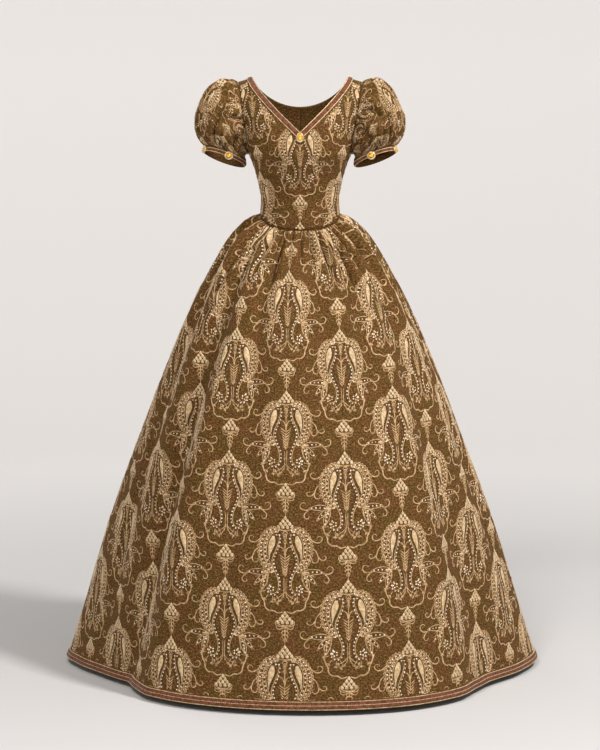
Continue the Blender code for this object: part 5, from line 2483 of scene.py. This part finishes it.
@dataclass
class Jewels:
    """The jewel at the point of the neckline and two on each cuff."""

    finishes: Finishes
    neck: Jewel = Jewel("neck_jewel", 0.0185, 0.0255, 0.66, 20)
    neck_drop: float = 0.1605
    cuff_share: float = 1.78
    ring_points: int = 97
    cuff_degrees: tuple[tuple[str, float], ...] = (("front", 104), ("outer", 24))
    cuff_size: tuple[float, float, float, int] = (0.0220, 0.0205, 0.60, 18)

    def build(self) -> None:
        """Make all five jewels."""
        at = np.array(np.pi / 2), np.array(math.sqrt(self.neck_drop))
        normal = unit(TORSO.normal(*at) * [0, 1, 1])
        height = BODICE_CLOTH + BRAID_GAP + BRAID_THICKNESS + 2 * SEAM_GAP
        spot = (TORSO.point(*at) + normal * height) * [0, 1, 1]
        self.neck.build(self.finishes, self._axes(spot, normal, np.array([0, 0, 1.0])))
        for side_name, side in (("left", 1), ("right", -1)):
            for place, degrees in self.cuff_degrees:
                jewel = Jewel(f"cuff_jewel_{side_name}_{place}", *self.cuff_size)
                spot, normal = self._on_cuff(math.radians(degrees))
                mirror = np.array([side, 1, 1])
                up = -SLEEVE_FORM.cuff_direction * mirror
                axes = self._axes(spot * mirror, normal * mirror, up)
                jewel.build(self.finishes, axes)

    def _on_cuff(self, angle: float) -> tuple[Array, Array]:
        """A jewel's place on the left cuff's braid, and the way that it faces.

        Args:
            angle: how far round from the outermost line it is.

        Returns:
            The place and the normal.
        """
        round_it = np.linspace(-np.pi, np.pi, self.ring_points)
        ring = SLEEVE_FORM.point(round_it, np.full(self.ring_points, self.cuff_share), False)
        middle = ring[:-1].mean(axis=0)
        point = SLEEVE_FORM.point(np.array([angle]), np.array([self.cuff_share]), False)[0]
        away = point - middle
        along_cuff = SLEEVE_FORM.cuff_direction
        normal = unit(away - (away @ along_cuff) * along_cuff)
        height = SLEEVE_CLOTH + BRAID_GAP + BRAID_THICKNESS + 2 * SEAM_GAP
        return point + normal * height, normal

    def _axes(self, spot: Array, normal: Array, up: Array) -> Matrix:
        """A jewel's axes in space: z along the normal, y as near as can be to up.

        Args:
            spot: its place.
            normal: the way it faces.
            up: the way its top points.

        Returns:
            The axes.
        """
        out = Vector(normal)
        across = Vector(up).cross(out).normalized()
        upright = out.cross(across).normalized()
        turned = Matrix((across, upright, out)).transposed().to_4x4()
        return Matrix.Translation(Vector(spot)) @ turned


class Lamp(NamedTuple):
    """A round lamp, aimed at a point of the gown's axis."""

    name: str
    at: tuple[float, float, float]
    aim_drop: float
    size: float
    watts: float


LAMPS = (
    Lamp("key", (2.5, -1.9, 2.7), 0.65, 0.6, 205),
    Lamp("fill", (-1.1, -3.0, 2.2), 0.60, 0.9, 88),
    Lamp("rim", (-1.6, 2.4, 2.0), 0.60, 1.8, 24),
)


@dataclass
class Studio:
    """The camera, a pale round cyclorama and soft light from all round and above."""

    camera_at: tuple[float, float, float] = (0.0, -5.0, -0.435)
    pitch: float = 3.78
    lens: float = 92.8
    floor: float = -1.5125
    floor_radius: float = 5.6
    sweep: float = 2.2
    wall_top: float = 1.8
    floor_rings: int = 12
    sweep_rings: int = 14
    sides: int = 96
    surface: str = "c9c6c4"
    glow: str = "fffbf8"
    back_light: str = "6f6e6c"
    front_light: str = "959390"
    front_start: float = 0.1
    front_full: float = 0.9
    floor_glow: float = 0.0
    wall_glow: float = 0.40
    glow_start: float = 0.3
    glow_end: float = 5.0
    front_way: tuple[float, float, float] = (0.12, -0.55, 0.83)

    def build(self) -> None:
        """Make it all and set the scene's camera."""
        self._camera()
        self._cyclorama()
        self._daylight()
        for lamp in LAMPS:
            self._lamp(lamp)

    def _camera(self) -> None:
        """The photograph's point of view."""
        data = bpy.data.cameras.new("camera")
        data.lens = self.lens
        camera = bpy.data.objects.new("camera", data)
        camera.location = self.camera_at
        camera.rotation_euler = (math.radians(90 - self.pitch), 0, 0)
        bpy.context.scene.collection.objects.link(camera)
        bpy.context.scene.camera = camera
        bpy.context.scene.view_settings.view_transform = "Standard"

    def _cyclorama(self) -> None:
        """A floor that sweeps up into a wall all round."""
        profile = [(r, self.floor) for r in np.linspace(0.0, self.floor_radius, self.floor_rings)]
        for turn in np.linspace(0, np.pi / 2, self.sweep_rings)[1:]:
            r = self.floor_radius + self.sweep * math.sin(turn)
            profile.append((r, self.floor + self.sweep * (1 - math.cos(turn))))
        profile.append((self.floor_radius + self.sweep, self.wall_top))
        way = np.linspace(0, 2 * np.pi, self.sides + 1)
        line = np.array(profile)
        grid = vec(line[:, :1] * np.cos(way), line[:, :1] * np.sin(way), line[:, 1:])
        points = grid.reshape(-1, 3)
        upwards = np.broadcast_to([0.0, 0.0, 1.0], points.shape)
        mesh = mesh_of("cyclorama", points, turned_out(points, grid_faces(*grid.shape[:2]), upwards))
        weld(mesh)
        material, shader = new_material("painted_plaster")
        shader.inputs["Base Color"].default_value = linear(self.surface)
        shader.inputs["Roughness"].default_value = 0.9
        shader.inputs["Specular IOR Level"].default_value = 0.1
        place = add_node(material, "ShaderNodeTexCoord").outputs["Object"]
        links = {0: place, 1: (1, 1, 0)}
        flat = add_node(material, "ShaderNodeVectorMath", links, operation="MULTIPLY")
        far = add_node(material, "ShaderNodeVectorMath", {0: flat.outputs[0]}, operation="LENGTH")
        links = {"Value": far.outputs["Value"], "From Min": self.glow_start, "From Max": self.glow_end}
        links |= {"To Min": self.floor_glow, "To Max": self.wall_glow}
        glow = add_node(material, "ShaderNodeMapRange", links, interpolation_type="SMOOTHSTEP")
        shader.inputs["Emission Color"].default_value = linear(self.glow)
        feed(material, shader, {"Emission Strength": glow.outputs["Result"]})
        mesh.materials.append(material)
        cyclorama = bpy.data.objects.new("cyclorama", mesh)
        bpy.context.scene.collection.objects.link(cyclorama)

    def _daylight(self) -> None:
        """Soft light from all round, strongest from high in front."""
        world = bpy.data.worlds.new("soft_light")
        bpy.context.scene.world = world
        world.use_nodes = True
        way = add_node(world, "ShaderNodeTexCoord").outputs["Generated"]
        links = {0: way, 1: self.front_way}
        facing = add_node(world, "ShaderNodeVectorMath", links, operation="DOT_PRODUCT")
        facing = facing.outputs["Value"]
        links = {"Value": facing, "From Min": self.front_start, "From Max": self.front_full}
        share = add_node(world, "ShaderNodeMapRange", links).outputs["Result"]
        links = {0: share, MIX_A: linear(self.back_light), MIX_B: linear(self.front_light)}
        shade = add_node(world, "ShaderNodeMix", links, data_type="RGBA").outputs[MIX_RESULT]
        feed(world, world.node_tree.nodes["Background"], {"Color": shade})

    def _lamp(self, lamp: Lamp) -> None:
        """A soft round lamp, aimed at the middle of the gown."""
        data = bpy.data.lights.new(lamp.name, "AREA")
        data.shape = "DISK"
        data.size = lamp.size
        data.energy = lamp.watts
        placed = bpy.data.objects.new(lamp.name, data)
        placed.location = lamp.at
        way = Vector((0, 0, -lamp.aim_drop)) - Vector(lamp.at)
        placed.rotation_euler = way.to_track_quat("-Z", "Y").to_euler()
        bpy.context.scene.collection.objects.link(placed)


def main() -> None:
    """Build the studio, then the gown from its cloth to its trims."""
    logging.basicConfig(level=logging.INFO, format="%(message)s")
    Studio().build()
    finishes = Finishes()
    damask = Damask()
    Skirt(finishes, damask).build()
    Bodice(finishes, damask).build()
    Sleeves(finishes, damask).build()
    Braids(finishes).build()
    Jewels(finishes).build()


if __name__ == "__main__":
    main()
